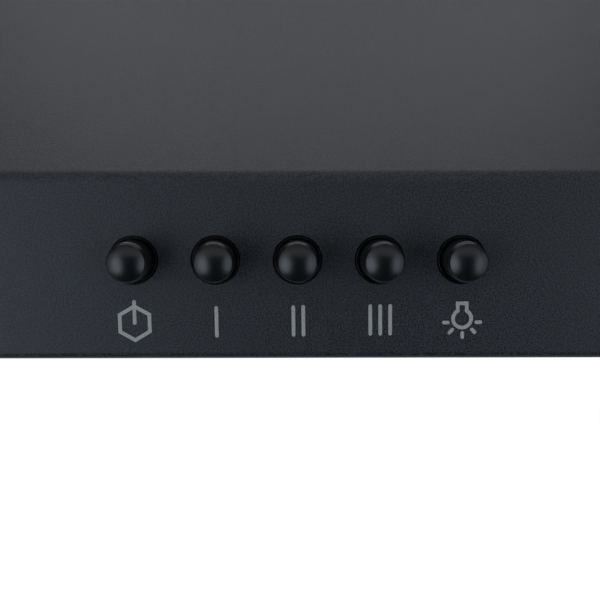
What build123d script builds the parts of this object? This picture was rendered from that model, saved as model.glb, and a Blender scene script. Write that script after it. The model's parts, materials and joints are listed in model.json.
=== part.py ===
from build123d import *
import os
from math import acos, atan2, cos, pi, sin, sqrt

# Wall-mounted chimney range hood. Millimetres: +X right, -Y towards the cook, +Z up.
# The back of the hood lies on the wall plane y = 0, and the origin is the middle of the four wall screws.

# Canopy
canopy_width = 598.0
canopy_depth = 500.0
fascia_height = 56.4
pyramid_rise = 200.0
top_ledge = 6.0                 # canopy top left showing round the lower chimney cover
sheet = 1.0                     # folded steel sheet
crease_radius = 5.5             # outer bend between fascia and slope
rim_radius = 2.5                # outer bend along the bottom edge
corner_radius = 6.0
rim_flange = 20.0
top_flange = 12.0
rear_flange = 16.0

# Wall fixing
wall_fix_height = 140.0         # screw pattern centre above the bottom rim
wall_fix_x = 220.0
wall_fix_z = 130.0
wall_hole_radius = 4.0

# Chimney covers
flue_width = 270.0
flue_depth = 262.0
lower_flue_height = 380.0
upper_flue_height = 370.0
upper_flue_shown = 200.0
flue_gap = 0.3
flue_corner = 2.5
flue_return = 15.0
vent_count = 6
vent_length = 60.0
vent_height = 3.5
vent_pitch = 10.0
bracket_sheet = 1.5
bracket_height = 30.0
bracket_arm = 40.0
bracket_hole_radius = 3.0
bracket_hole_spacing = 160.0
bracket_drop = 8.0              # bracket below the top of the chimney
foot_bracket_width = 30.0
foot_bracket_rise = 20.0
foot_bracket_toe = 14.0
foot_screw_rise = 12.0          # lower cover's screws above the canopy top
vent_drop = 55.0                # highest vent slot below the top of the chimney

# Push buttons
button_count = 5
button_pitch = 25.0
button_height = 30.8            # button axes above the bottom rim
button_travel = 4.0
button_hole_radius = 7.45
guide_outer_radius = 7.1
guide_inner_radius = 6.65
guide_setback = 0.2             # bush ends behind the face of the fascia
cap_base_radius = 6.0
cap_neck_radius = 5.85
cap_neck_height = 10.0
cap_groove_radius = 5.4
crown_edge_radius = 5.65        # widest part of the button's crowned end
crown_edge_height = 11.3
crown_rim_radius = 1.0          # rounding from the edge into the crown
crown_radius = 10.0
cap_flange_radius = 7.6
plunger_side = 4.0
guide_plate = 2.0
guide_plate_height = 24.0
part_gap = 0.3                  # running gap between pieces that move past each other

# Switch unit
switch_block_depth = 30.0
switch_block_height = 22.0
switch_end_margin = 12.0
switch_stud_radius = 2.0
switch_stud_length = 9.0

# Underside panel
panel_recess = 12.0
panel_sheet = 1.0
panel_lip = 14.0
front_strip = 88.0              # panel strip that carries the lamps, behind the rim
filter_rail = 12.0              # panel bar between the two filters
filter_side_strip = 10.0
filter_rear_strip = 14.0
panel_screw_first = 120.0       # side screws behind the fascia
panel_screw_last = 360.0

# Grease filters
filter_gap = 1.0
filter_thickness = 8.5
filter_drop = 0.5               # filter face below the panel face
filter_border = 13.0
filter_corner = 6.0
mesh_thickness = 5.0
mesh_columns = 8
mesh_rows = 10
mesh_strand = 4.0
hinge_setback = 3.5             # filter edge ahead of its hinge line
tab_width = 24.0
tab_thickness = 1.2
tab_reach = 7.0
latch_travel = 5.0
latch_width = 34.0
latch_depth = 20.0
latch_housing_wall = 2.0

# Lamps
lamp_inset = 79.0               # lamp centre in from the panel's side
lamp_setback = 44.0             # lamp centre behind the panel's front edge
lamp_hole_radius = 31.0
lamp_bezel_radius = 34.5
lamp_bezel_thickness = 1.5
lamp_lens_radius = 25.0
lamp_lens_thickness = 2.0
lamp_housing_height = 22.0

# Blower
impeller_radius = 71.0
impeller_eye_radius = 57.0
impeller_width = 104.0
impeller_ring = 2.0
blade_count = 30
blade_thickness = 1.2
blade_sweep = 0.30              # radians that a blade leads from eye to tip
hub_radius = 12.0
hub_disc = 2.5
hub_disc_x = -14.0
shaft_radius = 4.0
shaft_clearance = 0.05
scroll_start_radius = 80.0
scroll_step = 8.0               # side of the square that carries the spiral's arc centres
scroll_wall = 2.0
scroll_half_width = 58.0
scroll_seam = 5.0
scroll_seam_thickness = 3.0
scroll_foot = 14.0
deck_screw_inset = 4.0          # screw centres inside the foot's edge
deck_screw_row = 6.0            # screw rows inside the outlet's front and back
scroll_foot_thickness = 2.5
scroll_nose = 5.0
scroll_wall_gap = 3.0           # seam to the rear panel
scroll_floor_gap = 42.0         # seam above the bottom rim
inlet_radius = 56.0
inlet_lip = 3.0
deck_sheet = 1.5
deck_fold = 12.0
motor_radius = 40.0
motor_length = 58.0
motor_rib_count = 12
spider_thickness = 2.5
spider_ring_width = 10.0
spider_arm_width = 12.0
spider_hub_radius = 30.0

# Outlet spigot and back-draught damper
spigot_radius = 75.0
spigot_wall = 2.0
spigot_height = 62.0
spigot_plate = 2.5
spigot_plate_side = 176.0
damper_height = 24.0            # damper pin above the spigot plate
damper_pin_radius = 2.0
flap_thickness = 1.5
flap_rim_gap = 0.7
knuckle_wall = 1.3
knuckle_length = 28.0
knuckle_gap = 2.0
damper_ledge = 3.5

# Electrics
box_width = 80.0
box_height = 60.0
box_depth = 34.0
box_wall = 2.0
box_inset = 124.0               # middle of the box in from the canopy's left side
box_rise = 72.0                 # bottom of the box above the rim
capacitor_radius = 15.0
capacitor_length = 58.0
capacitor_inset = 37.0          # in from the left edge of the canopy's top
capacitor_setback = 63.0        # behind the front edge of the canopy's top
driver_length = 70.0
driver_depth = 34.0
driver_height = 22.0
driver_from_lamp = 76.0
gland_inset = 33.0              # in from the left edge of the canopy's top
gland_from_wall = 60.0
gland_bore = 4.5
gland_nut = 10.0
gland_height = 16.0

# Screws
screw_radius = 1.6
screw_head_radius = 3.2
screw_head_height = 1.8
screw_grip = 3.0                # thread that runs past the sheets it joins

# ---- heights and faces that follow from the values above ----
rim_z = -wall_fix_height
crease_z = rim_z + fascia_height
top_z = crease_z + pyramid_rise
front_y = -canopy_depth
panel_face_y = -sheet           # front face of the rear panel
top_width = flue_width + 2 * top_ledge
top_depth = flue_depth + top_ledge
front_slope = atan2(pyramid_rise, canopy_depth - top_depth)
side_slope = atan2(pyramid_rise, (canopy_width - top_width) / 2)
overrun = 40.0                  # how far a form runs past the wall plane before it is cut

button_z = rim_z + button_height
button_xs = [button_pitch * (i - (button_count - 1) / 2) for i in range(button_count)]
button_names = ["power", "speed_1", "speed_2", "speed_3", "lamp"]
fascia_inner_y = front_y + sheet
guide_back_y = fascia_inner_y + guide_plate
cap_flange_y = guide_back_y + part_gap
cap_flange_thickness = 1.5
cap_back_y = cap_flange_y + cap_flange_thickness
switch_front_y = cap_back_y + button_travel + 1.0
switch_width = (button_count - 1) * button_pitch + 2 * switch_end_margin
switch_stud_x = switch_width / 2 + 10.0
switch_ear = 8.0

panel_z = rim_z + panel_recess
panel_x = canopy_width / 2 - rim_flange
panel_front_y = front_y + rim_flange
panel_back_y = -rim_flange - 2 * sheet
opening_front_y = panel_front_y + front_strip
opening_back_y = panel_back_y - filter_rear_strip
opening_inner_x = filter_rail / 2
opening_outer_x = panel_x - filter_side_strip
hinge_y = opening_back_y - 0.5
hinge_z = panel_z + panel_sheet + part_gap
filter_x0 = opening_inner_x + filter_gap
filter_x1 = opening_outer_x - filter_gap
filter_y0 = opening_front_y + filter_gap
filter_y1 = hinge_y - hinge_setback
filter_z0 = panel_z - filter_drop
filter_z1 = filter_z0 + filter_thickness
latch_y1 = filter_y0 + filter_border + latch_depth

lamp_x = panel_x - lamp_inset
lamp_y = panel_front_y + lamp_setback
driver_x = lamp_x - driver_from_lamp
box_x = box_inset - canopy_width / 2
capacitor_x = capacitor_inset - top_width / 2
capacitor_y = capacitor_setback - top_depth
gland_x = gland_inset - top_width / 2
gland_y = -gland_from_wall

deck_top_z = top_z - sheet
deck_z = deck_top_z - deck_sheet
scroll_reach_back = scroll_start_radius + scroll_step / 2 + scroll_wall + scroll_seam
shaft_y = panel_face_y - scroll_wall_gap - scroll_reach_back
shaft_z = rim_z + scroll_floor_gap + scroll_start_radius + 1.5 * scroll_step + scroll_wall + scroll_seam
outlet_front_y = shaft_y - scroll_start_radius - 2.5 * scroll_step
outlet_back_y = shaft_y + scroll_step / 2
spigot_y = (outlet_front_y + outlet_back_y) / 2
plate_top_z = deck_top_z + spigot_plate
spigot_top_z = plate_top_z + spigot_height
damper_z = plate_top_z + damper_height

flue_top_z = top_z + lower_flue_height
upper_bottom_z = flue_top_z + upper_flue_shown - upper_flue_height
upper_top_z = flue_top_z + upper_flue_shown
upper_width = flue_width - 2 * (sheet + flue_gap)
upper_front_y = -flue_depth + sheet + flue_gap
upper_back_y = -sheet - flue_gap


def block(x0, x1, y0, y1, z0, z1):
    """Box between two corners."""
    centre = Pos((x0 + x1) / 2, (y0 + y1) / 2, (z0 + z1) / 2)
    return centre * Box(x1 - x0, y1 - y0, z1 - z0)


def rod_x(radius, x0, x1, y, z):
    """Cylinder along X."""
    return Pos((x0 + x1) / 2, y, z) * Rot(0, 90, 0) * Cylinder(radius, x1 - x0)


def rod_y(radius, y0, y1, x, z):
    """Cylinder along Y."""
    return Pos(x, (y0 + y1) / 2, z) * Rot(90, 0, 0) * Cylinder(radius, y1 - y0)


def rod_z(radius, z0, z1, x, y):
    """Cylinder along Z."""
    return Pos(x, y, (z0 + z1) / 2) * Cylinder(radius, z1 - z0)


def edges_at_height(solid, z):
    """Edges that lie level at height z, away from the wall plane."""
    level = [e for e in solid.edges() if abs(e.bounding_box().min.Z - z) < 0.01]
    level = [e for e in level if abs(e.bounding_box().max.Z - z) < 0.01]
    return [e for e in level if e.center().Y < panel_face_y - 2.0]


def canopy_form(inset, z0, z_bend, back_y):
    """Upright skirt with a pyramid on it, both inset from the outer faces and cut flat at the back."""
    radius = corner_radius - inset
    half = canopy_width / 2 - inset
    front = front_y + inset
    top_half = top_width / 2 - inset / sin(side_slope)
    top_front = -top_depth + inset / sin(front_slope)
    skirt_section = RectangleRounded(2 * half, overrun - front, radius)
    skirt_centre = (overrun + front) / 2
    top_section = RectangleRounded(2 * top_half, overrun - top_front, radius)
    skirt = extrude(Pos(0, skirt_centre, z0) * skirt_section, z_bend - z0)
    bottom_face = Pos(0, skirt_centre, z_bend) * skirt_section
    top_face = Pos(0, (overrun + top_front) / 2, top_z) * top_section
    pyramid = loft([bottom_face, top_face], ruled=True)
    cut = block(-canopy_width, canopy_width, back_y, canopy_width, z0 - 50, top_z + 50)
    return skirt + pyramid - cut


def canopy_shell():
    """Folded and welded canopy: fascia, slopes, side walls, inner rim and rear seams in one sheet."""
    outer = canopy_form(0.0, rim_z, crease_z, panel_face_y)
    outer = fillet(edges_at_height(outer, crease_z), crease_radius)
    outer = fillet(edges_at_height(outer, rim_z), rim_radius)
    inner_crease_z = crease_z + sheet * (sin(front_slope) - 1) / cos(front_slope)
    inner = canopy_form(sheet, rim_z + sheet, inner_crease_z, 0.0)
    inner = fillet(edges_at_height(inner, inner_crease_z), crease_radius - sheet)
    inner = fillet(edges_at_height(inner, rim_z + sheet), rim_radius - sheet)
    inner -= block(-canopy_width, canopy_width, front_y, overrun, deck_top_z, top_z + 50)
    seam = outer & block(-canopy_width, canopy_width, panel_face_y - sheet, panel_face_y, rim_z, top_z)
    seam -= seam_window()
    shell = outer - inner
    shell -= block(-panel_x, panel_x, panel_front_y, overrun, rim_z - 1, rim_z + 2 * sheet)
    top_x = top_width / 2 - top_flange
    shell -= block(-top_x, top_x, -top_depth + top_flange, overrun, top_z - 2 * sheet, top_z + 1)
    shell += seam
    for x in button_xs:
        shell -= rod_y(button_hole_radius, front_y - 1, fascia_inner_y + 1, x, button_z)
    for x in (-switch_stud_x, switch_stud_x):
        shell += rod_y(switch_stud_radius, fascia_inner_y, fascia_inner_y + switch_stud_length, x, button_z)
    for x, y in panel_screw_places():
        shell -= rod_z(screw_radius, rim_z - 1, rim_z + 2 * sheet, x, y)
    return shell


def seam_window():
    """Opening between the two rear seams, narrower than the back of the canopy by one seam a side."""
    low = canopy_width / 2 - rear_flange
    high = top_width / 2 - rear_flange
    outline = Polyline(
        (-low, rim_z - 1),
        (low, rim_z - 1),
        (low, crease_z),
        (high, top_z + 1),
        (-high, top_z + 1),
        (-low, crease_z),
        close=True,
    )
    window = Plane.XZ * make_face(outline)
    return extrude(window, 10, both=True)


def rear_panel():
    """Flat sheet that lies on the wall, with its bottom edge folded forward."""
    low = canopy_width / 2
    high = top_width / 2
    outline = Polyline(
        (-low, rim_z),
        (low, rim_z),
        (low, crease_z),
        (high, top_z),
        (-high, top_z),
        (-low, crease_z),
        close=True,
    )
    panel = extrude(Plane.XZ * make_face(outline), sheet)
    flange_x = panel_x - part_gap
    panel += block(-flange_x, flange_x, -rim_flange - sheet, panel_face_y, rim_z, rim_z + sheet)
    for x in (-wall_fix_x / 2, wall_fix_x / 2):
        for z in (-wall_fix_z / 2, wall_fix_z / 2):
            panel -= rod_y(wall_hole_radius, -2 * sheet, 1, x, z)
    return panel


def panel_screw_places():
    """Screws that hold the underside panel's lip to the canopy's rim."""
    side_x = panel_x + panel_lip / 2
    rows = (front_y + panel_screw_first, front_y + panel_screw_last)
    front_row = panel_front_y - panel_lip / 2
    sides = [(s * side_x, y) for s in (-1, 1) for y in rows]
    return sides + [(s * lamp_x, front_row) for s in (-1, 1)]


def underside_panel():
    """Recessed panel with a raised edge, a lip on the rim, two filter openings and two lamp holes."""
    lip_z = rim_z + sheet
    back_y = panel_back_y
    lip = block(-panel_x - panel_lip, panel_x + panel_lip, panel_front_y - panel_lip,
                back_y + panel_lip, lip_z, lip_z + panel_sheet)
    wall = block(-panel_x, panel_x, panel_front_y, back_y, lip_z, panel_z + panel_sheet)
    wall = fillet(edges_at_height(wall, panel_z + panel_sheet), panel_sheet)
    inside = block(-panel_x + panel_sheet, panel_x - panel_sheet, panel_front_y + panel_sheet,
                   back_y - panel_sheet, lip_z - 1, panel_z)
    panel = lip + wall - inside
    for side in (-1, 1):
        x0, x1 = sorted((side * opening_inner_x, side * opening_outer_x))
        panel -= block(x0, x1, opening_front_y, opening_back_y, panel_z - 1, panel_z + 2)
        panel -= rod_z(lamp_hole_radius, panel_z - 1, panel_z + 2, side * lamp_x, lamp_y)
    for x, y in panel_screw_places():
        panel -= rod_z(screw_radius, lip_z - 1, lip_z + 2, x, y)
    return panel


def panel_screws():
    """Pan-head screws, head against the underside of the rim."""
    screws = []
    for x, y in panel_screw_places():
        shank = rod_z(screw_radius, rim_z, rim_z + sheet + panel_sheet + screw_grip, x, y)
        head = rod_z(screw_head_radius, rim_z - screw_head_height, rim_z, x, y)
        head = fillet(edges_at_height(head, rim_z - screw_head_height), 0.8)
        screws.append(shank + head)
    return Compound(children=screws)


def blower_deck():
    """Plate under the canopy's top ledge that the blower hangs from, with its rear edge folded down."""
    side_x = top_width / 2 - sheet / sin(side_slope) - part_gap
    deck_front = -top_depth + sheet / sin(front_slope) + part_gap
    deck_back = panel_face_y - sheet - part_gap
    deck = block(-side_x, side_x, deck_front, deck_back, deck_z, deck_top_z)
    deck = fillet(deck.edges().filter_by(Axis.Z).group_by(Axis.Y)[0], corner_radius - sheet)
    fold_x = side_x - rear_flange
    deck += block(-fold_x, fold_x, deck_back - deck_sheet, deck_back, deck_z - deck_fold, deck_z)
    deck -= block(-scroll_half_width, scroll_half_width, outlet_front_y, outlet_back_y,
                  deck_z - 1, deck_top_z + 1)
    deck -= rod_z(gland_nut * 0.6, deck_z - 1, deck_top_z + 1, gland_x, gland_y)
    for x, y in deck_screw_places():
        deck -= rod_z(screw_radius, deck_z - 1, deck_top_z + 1, x, y)
    return deck


def deck_screw_places():
    """Screws through the spigot plate and the deck into the blower's foot."""
    x = scroll_half_width + scroll_wall + scroll_foot - deck_screw_inset
    ys = (outlet_front_y + deck_screw_row, outlet_back_y - deck_screw_row)
    return [(s * x, y) for s in (-1, 1) for y in ys]


def deck_screws():
    """Screws, head on the spigot plate."""
    screws = []
    for x, y in deck_screw_places():
        shank = rod_z(screw_radius, deck_z - scroll_foot_thickness - screw_grip, plate_top_z, x, y)
        head = rod_z(screw_head_radius, plate_top_z, plate_top_z + screw_head_height, x, y)
        screws.append(shank + head)
    return Compound(children=screws)


def arc_about(centre, radius, start, end):
    """Arc about a centre, between two angles in degrees."""
    def point(angle):
        return (centre[0] + radius * cos(angle * pi / 180), centre[1] + radius * sin(angle * pi / 180))
    return ThreePointArc(point(start), point((start + end) / 2), point(end))


def scroll_face(grow, top):
    """Blower outline in the YZ plane: three quarter arcs that step outwards, then a straight neck."""
    half = scroll_step / 2
    centre_1 = (shaft_y + half, shaft_z - half)
    centre_2 = (shaft_y - half, shaft_z - half)
    centre_3 = (shaft_y - half, shaft_z + half)
    radius_1 = scroll_start_radius + grow
    radius_2 = radius_1 + scroll_step
    radius_3 = radius_2 + scroll_step
    start = 90 - atan2(grow, radius_1) * 180 / pi
    arc_1 = arc_about(centre_1, radius_1, start, 0)
    arc_2 = arc_about(centre_2, radius_2, 0, -90)
    arc_3 = arc_about(centre_3, radius_3, -90, -180)
    front = arc_3 @ 1
    nose = arc_1 @ 0
    neck_front = Line(front, (front.X, top))
    neck_top = Line((front.X, top), (nose.X, top))
    neck_back = Line((nose.X, top), nose)
    outline = Curve() + [arc_1, arc_2, arc_3, neck_front, neck_top, neck_back]
    return Plane.YZ * make_face(outline)


def scroll_half(side):
    """One moulded half of the blower housing, with seam rib, foot flange and inlet lip."""
    width = scroll_half_width
    outer = extrude(scroll_face(scroll_wall, deck_z), width + scroll_wall)
    seam = extrude(scroll_face(scroll_wall + scroll_seam, deck_z - scroll_foot_thickness), scroll_seam_thickness)
    inner = extrude(scroll_face(0.0, deck_z), width)
    nose = [e for e in inner.edges().filter_by(Axis.X) if abs(e.center().Y - outlet_back_y) < 0.01]
    nose = [e for e in nose if e.center().Z < deck_z - 1]
    inner = fillet(nose, scroll_nose)
    foot = block(0, width + scroll_wall + scroll_foot, outlet_front_y - scroll_wall - scroll_foot,
                 outlet_back_y + scroll_wall + scroll_foot, deck_z - scroll_foot_thickness, deck_z)
    half = outer + seam + foot - inner
    lip = rod_x(inlet_radius + scroll_wall, width - inlet_lip, width + scroll_wall, shaft_y, shaft_z)
    half += lip
    half -= rod_x(inlet_radius, width - inlet_lip - 1, width + scroll_wall + 1, shaft_y, shaft_z)
    for x, y in deck_screw_places():
        half -= rod_z(screw_radius, deck_z - 10, deck_z + 1, abs(x), y)
    if side < 0:
        half = mirror(half, Plane.YZ)
    return half


def blade(index):
    """Forward-curved blade section, swept from the eye to the tip."""
    turn = 2 * pi * index / blade_count
    inner = impeller_eye_radius
    outer = impeller_radius - impeller_ring / 2
    middle = (inner + outer) / 2
    lead = -blade_sweep

    def point(radius, share, offset):
        angle = turn + lead * share + offset / radius
        return (shaft_y + radius * cos(angle), shaft_z + radius * sin(angle))

    back = ThreePointArc(point(inner, 0, 0), point(middle, 0.3, 0), point(outer, 1, 0))
    tip = Line(back @ 1, point(outer, 1, blade_thickness))
    front = ThreePointArc(tip @ 1, point(middle, 0.3, blade_thickness), point(inner, 0, blade_thickness))
    root = Line(front @ 1, back @ 0)
    return make_face(Curve() + [back, tip, front, root])


def impeller():
    """Double-inlet wheel: blades between two end rings, carried by a disc and a hub."""
    half = impeller_width / 2
    faces = Sketch() + [blade(i) for i in range(blade_count)]
    wheel = extrude(Plane.YZ.offset(-half + impeller_ring / 2) * faces, impeller_width - impeller_ring)
    for x in (-half, half - impeller_ring):
        ring = rod_x(impeller_radius, x, x + impeller_ring, shaft_y, shaft_z)
        ring -= rod_x(impeller_eye_radius, x - 1, x + impeller_ring + 1, shaft_y, shaft_z)
        wheel += ring
    wheel += rod_x(impeller_radius - impeller_ring / 2, hub_disc_x, hub_disc_x + hub_disc, shaft_y, shaft_z)
    wheel += rod_x(hub_radius, hub_disc_x - 10, hub_disc_x + hub_disc + 6, shaft_y, shaft_z)
    wheel -= rod_x(shaft_radius, -half, half, shaft_y, shaft_z)
    return wheel


def motor_shaft():
    """Steel shaft from the hub into the motor."""
    shaft = rod_x(shaft_radius, hub_disc_x - 14, motor_face_x() + motor_length / 2, shaft_y, shaft_z)
    return chamfer(shaft.edges(), 0.5)


def motor_face_x():
    """Front face of the motor, inside the wheel."""
    return scroll_half_width + scroll_wall - motor_length


def motor():
    """Ribbed motor can with a bearing nose, bored for the shaft."""
    face = motor_face_x()
    end = scroll_half_width + scroll_wall
    body = rod_x(motor_radius - 2, face, end, shaft_y, shaft_z)
    body = fillet(body.edges().filter_by(GeomType.CIRCLE).group_by(Axis.X)[0], 4)
    for i in range(motor_rib_count):
        angle = 360 * i / motor_rib_count
        rib = block(face + 8, end - 8, -1.5, 1.5, motor_radius - 4, motor_radius)
        body += Pos(0, shaft_y, shaft_z) * Rot(angle, 0, 0) * rib
    body += rod_x(shaft_radius + 7, face - 3, face + 2, shaft_y, shaft_z)
    bore_end = face + motor_length / 2 + part_gap
    body -= rod_x(shaft_radius + shaft_clearance, face - 4, bore_end, shaft_y, shaft_z)
    return body


def motor_spider():
    """Ring with three arms that holds the motor in the right-hand inlet."""
    x0 = scroll_half_width + scroll_wall
    x1 = x0 + spider_thickness
    ring_outer = inlet_radius + spider_ring_width
    ring = rod_x(ring_outer, x0, x1, shaft_y, shaft_z) - rod_x(inlet_radius, x0 - 1, x1 + 1, shaft_y, shaft_z)
    ring += rod_x(spider_hub_radius, x0, x1, shaft_y, shaft_z)
    half = spider_arm_width / 2
    for i in range(3):
        arm = block(x0, x1, -half, half, spider_hub_radius - 4, inlet_radius + 2)
        ring += Pos(0, shaft_y, shaft_z) * Rot(120 * i, 0, 0) * arm
    return ring


def outlet_spigot():
    """Square plate with a round collar for the duct, a seat ledge and holes for the damper pin."""
    half = spigot_plate_side / 2
    plate = block(-half, half, spigot_y - half, spigot_y + half, deck_top_z, plate_top_z)
    plate = fillet(plate.edges().filter_by(Axis.Z), 8)
    collar = rod_z(spigot_radius, deck_top_z, spigot_top_z, 0, spigot_y)
    bore = spigot_radius - spigot_wall
    spigot = plate + collar - rod_z(bore, deck_top_z - 1, spigot_top_z + 1, 0, spigot_y)
    ledge_top = damper_z - flap_thickness / 2 - part_gap
    ledge = rod_z(bore, ledge_top - 1.5, ledge_top, 0, spigot_y)
    ledge -= rod_z(bore - damper_ledge, ledge_top - 2, ledge_top + 1, 0, spigot_y)
    spigot += ledge
    spigot -= rod_x(damper_pin_radius, -spigot_radius - 1, spigot_radius + 1, spigot_y, damper_z)
    for x, y in deck_screw_places():
        spigot -= rod_z(screw_radius, deck_top_z - 1, plate_top_z + 1, x, y)
    return spigot


def damper_pin():
    """Pin across the collar that both flaps swing on."""
    end = spigot_radius - 0.2
    return rod_x(damper_pin_radius, -end, end, spigot_y, damper_z)


def damper_flap(side):
    """Half-round flap on two knuckles; side is -1 for the front flap and 1 for the rear one."""
    knuckle_radius = damper_pin_radius + shaft_clearance + knuckle_wall
    clear = knuckle_radius + 0.6
    radius = spigot_radius - spigot_wall - flap_rim_gap
    low = damper_z - flap_thickness / 2
    disc = rod_z(radius, low, low + flap_thickness, 0, spigot_y)
    if side < 0:
        disc -= block(-radius, radius, spigot_y - clear, spigot_y + radius + 1, low - 1, low + 3)
    else:
        disc -= block(-radius, radius, spigot_y - radius - 1, spigot_y + clear, low - 1, low + 3)
    step = knuckle_length + knuckle_gap
    starts = [-2 * step + knuckle_gap / 2, knuckle_gap / 2]
    if side > 0:
        starts = [s + step for s in starts]
    for x0 in starts:
        x1 = x0 + knuckle_length
        y0, y1 = sorted((spigot_y + side * (damper_pin_radius + 0.6), spigot_y + side * (clear + 1)))
        disc += block(x0, x1, y0, y1, low, low + flap_thickness)
        disc += rod_x(knuckle_radius, x0, x1, spigot_y, damper_z)
    return disc - rod_x(damper_pin_radius + shaft_clearance, -radius, radius, spigot_y, damper_z)


def flue_channel(width, front, back, z0, z1):
    """Three-sided chimney cover with its rear edges folded inwards."""
    outer = block(-width / 2, width / 2, front, back, z0, z1)
    outer = fillet(outer.edges().filter_by(Axis.Z).group_by(Axis.Y)[0], flue_corner)
    inner = block(-width / 2 + sheet, width / 2 - sheet, front + sheet, back - sheet, z0 - 1, z1 + 1)
    inner = fillet(inner.edges().filter_by(Axis.Z).group_by(Axis.Y)[0], flue_corner - sheet)
    gap = width / 2 - flue_return
    return outer - inner - block(-gap, gap, back - 2 * sheet, back + 1, z0 - 1, z1 + 1)


def lower_flue_cover():
    """Lower chimney cover, standing on the canopy's top ledge."""
    cover = flue_channel(flue_width, -flue_depth, 0.0, top_z, flue_top_z)
    for side in (-1, 1):
        x0 = side * flue_width / 2
        cover -= rod_x(screw_radius, x0 - 3, x0 + 3, foot_bracket_y(), top_z + foot_screw_rise)
    return cover


def upper_flue_cover():
    """Upper chimney cover, sliding inside the lower one, with vent slots near its top."""
    cover = flue_channel(upper_width, upper_front_y, upper_back_y, upper_bottom_z, upper_top_z)
    middle = (upper_front_y + upper_back_y) / 2
    for side in (-1, 1):
        x = side * upper_width / 2
        for i in range(vent_count):
            z = upper_top_z - vent_drop - vent_pitch * i
            slot = block(x - 3, x + 3, middle - vent_length / 2, middle + vent_length / 2, z, z + vent_height)
            cover -= fillet(slot.edges().filter_by(Axis.X), vent_height / 2 - 0.05)
        cover -= rod_x(screw_radius, x - 3, x + 3, upper_back_y - bracket_arm / 2, bracket_centre_z())
    return cover


def bracket_centre_z():
    """Height of the ceiling-end bracket."""
    return upper_top_z - bracket_drop - bracket_height / 2


def upper_flue_bracket():
    """Wall bracket at the top of the chimney: a strap on the wall with an arm along each side wall."""
    z0 = bracket_centre_z() - bracket_height / 2
    z1 = z0 + bracket_height
    x = upper_width / 2 - sheet
    strap_x = upper_width / 2 - flue_return - part_gap
    strap_y = upper_back_y - sheet
    strap = block(-strap_x, strap_x, -bracket_sheet, 0, z0, z1)
    joggle = strap_y - bracket_sheet
    for side in (-1, 1):
        a, b = sorted((side * (strap_x - bracket_sheet), side * strap_x))
        strap += block(a, b, joggle, 0, z0, z1)
        a, b = sorted((side * (strap_x - bracket_sheet), side * x))
        strap += block(a, b, joggle, strap_y, z0, z1)
        a, b = sorted((side * (x - bracket_sheet), side * x))
        strap += block(a, b, upper_back_y - bracket_arm, strap_y, z0, z1)
        strap -= rod_x(screw_radius, side * x - 3, side * x + 3, upper_back_y - bracket_arm / 2,
                       bracket_centre_z())
        strap -= rod_y(bracket_hole_radius, -5, 1, side * bracket_hole_spacing / 2, bracket_centre_z())
    return strap


def foot_bracket_y():
    """Distance of the lower cover's screws from the wall."""
    return -flue_depth / 2


def flue_foot_brackets():
    """Two angle brackets on the deck that the lower chimney cover is screwed to."""
    brackets = []
    half = foot_bracket_width / 2
    y = foot_bracket_y()
    for side in (-1, 1):
        face = flue_width / 2 - sheet
        foot_face = top_width / 2 - top_flange
        x0, x1 = sorted((side * (face - bracket_sheet), side * face))
        angle = block(x0, x1, y - half, y + half, top_z, top_z + foot_bracket_rise)
        x0, x1 = sorted((side * (foot_face - foot_bracket_toe), side * face))
        angle += block(x0, x1, y - half, y + half, top_z, top_z + bracket_sheet)
        angle -= rod_x(screw_radius, side * face - 5, side * face + 5, y, top_z + foot_screw_rise)
        brackets.append(angle)
    return Compound(children=brackets)


def lower_flue_screws():
    """Pair of screws through the side walls of the lower chimney cover."""
    screws = []
    x_face = flue_width / 2
    y = foot_bracket_y()
    z = top_z + foot_screw_rise
    for side in (-1, 1):
        inside, outside = side * (x_face - sheet - bracket_sheet - screw_grip), side * x_face
        tip = side * (x_face + screw_head_height)
        shank = rod_x(screw_radius, min(inside, outside), max(inside, outside), y, z)
        head = rod_x(screw_head_radius, min(outside, tip), max(outside, tip), y, z)
        screws.append(shank + head)
    return Compound(children=screws)


def button_guide():
    """Moulded plate behind the fascia with a guide bush through each button hole."""
    half = switch_stud_x + switch_ear
    low = button_z - guide_plate_height / 2
    plate = block(-half, half, fascia_inner_y, guide_back_y, low, low + guide_plate_height)
    plate = fillet(plate.edges().filter_by(Axis.Y), 3)
    for x in button_xs:
        plate += rod_y(guide_outer_radius, front_y + guide_setback, guide_back_y, x, button_z)
        plate -= rod_y(guide_inner_radius, front_y - 1, guide_back_y + 1, x, button_z)
    for x in (-switch_stud_x, switch_stud_x):
        plate -= rod_y(switch_stud_radius + 0.1, fascia_inner_y - 1, guide_back_y + 1, x, button_z)
    return plate


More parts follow.
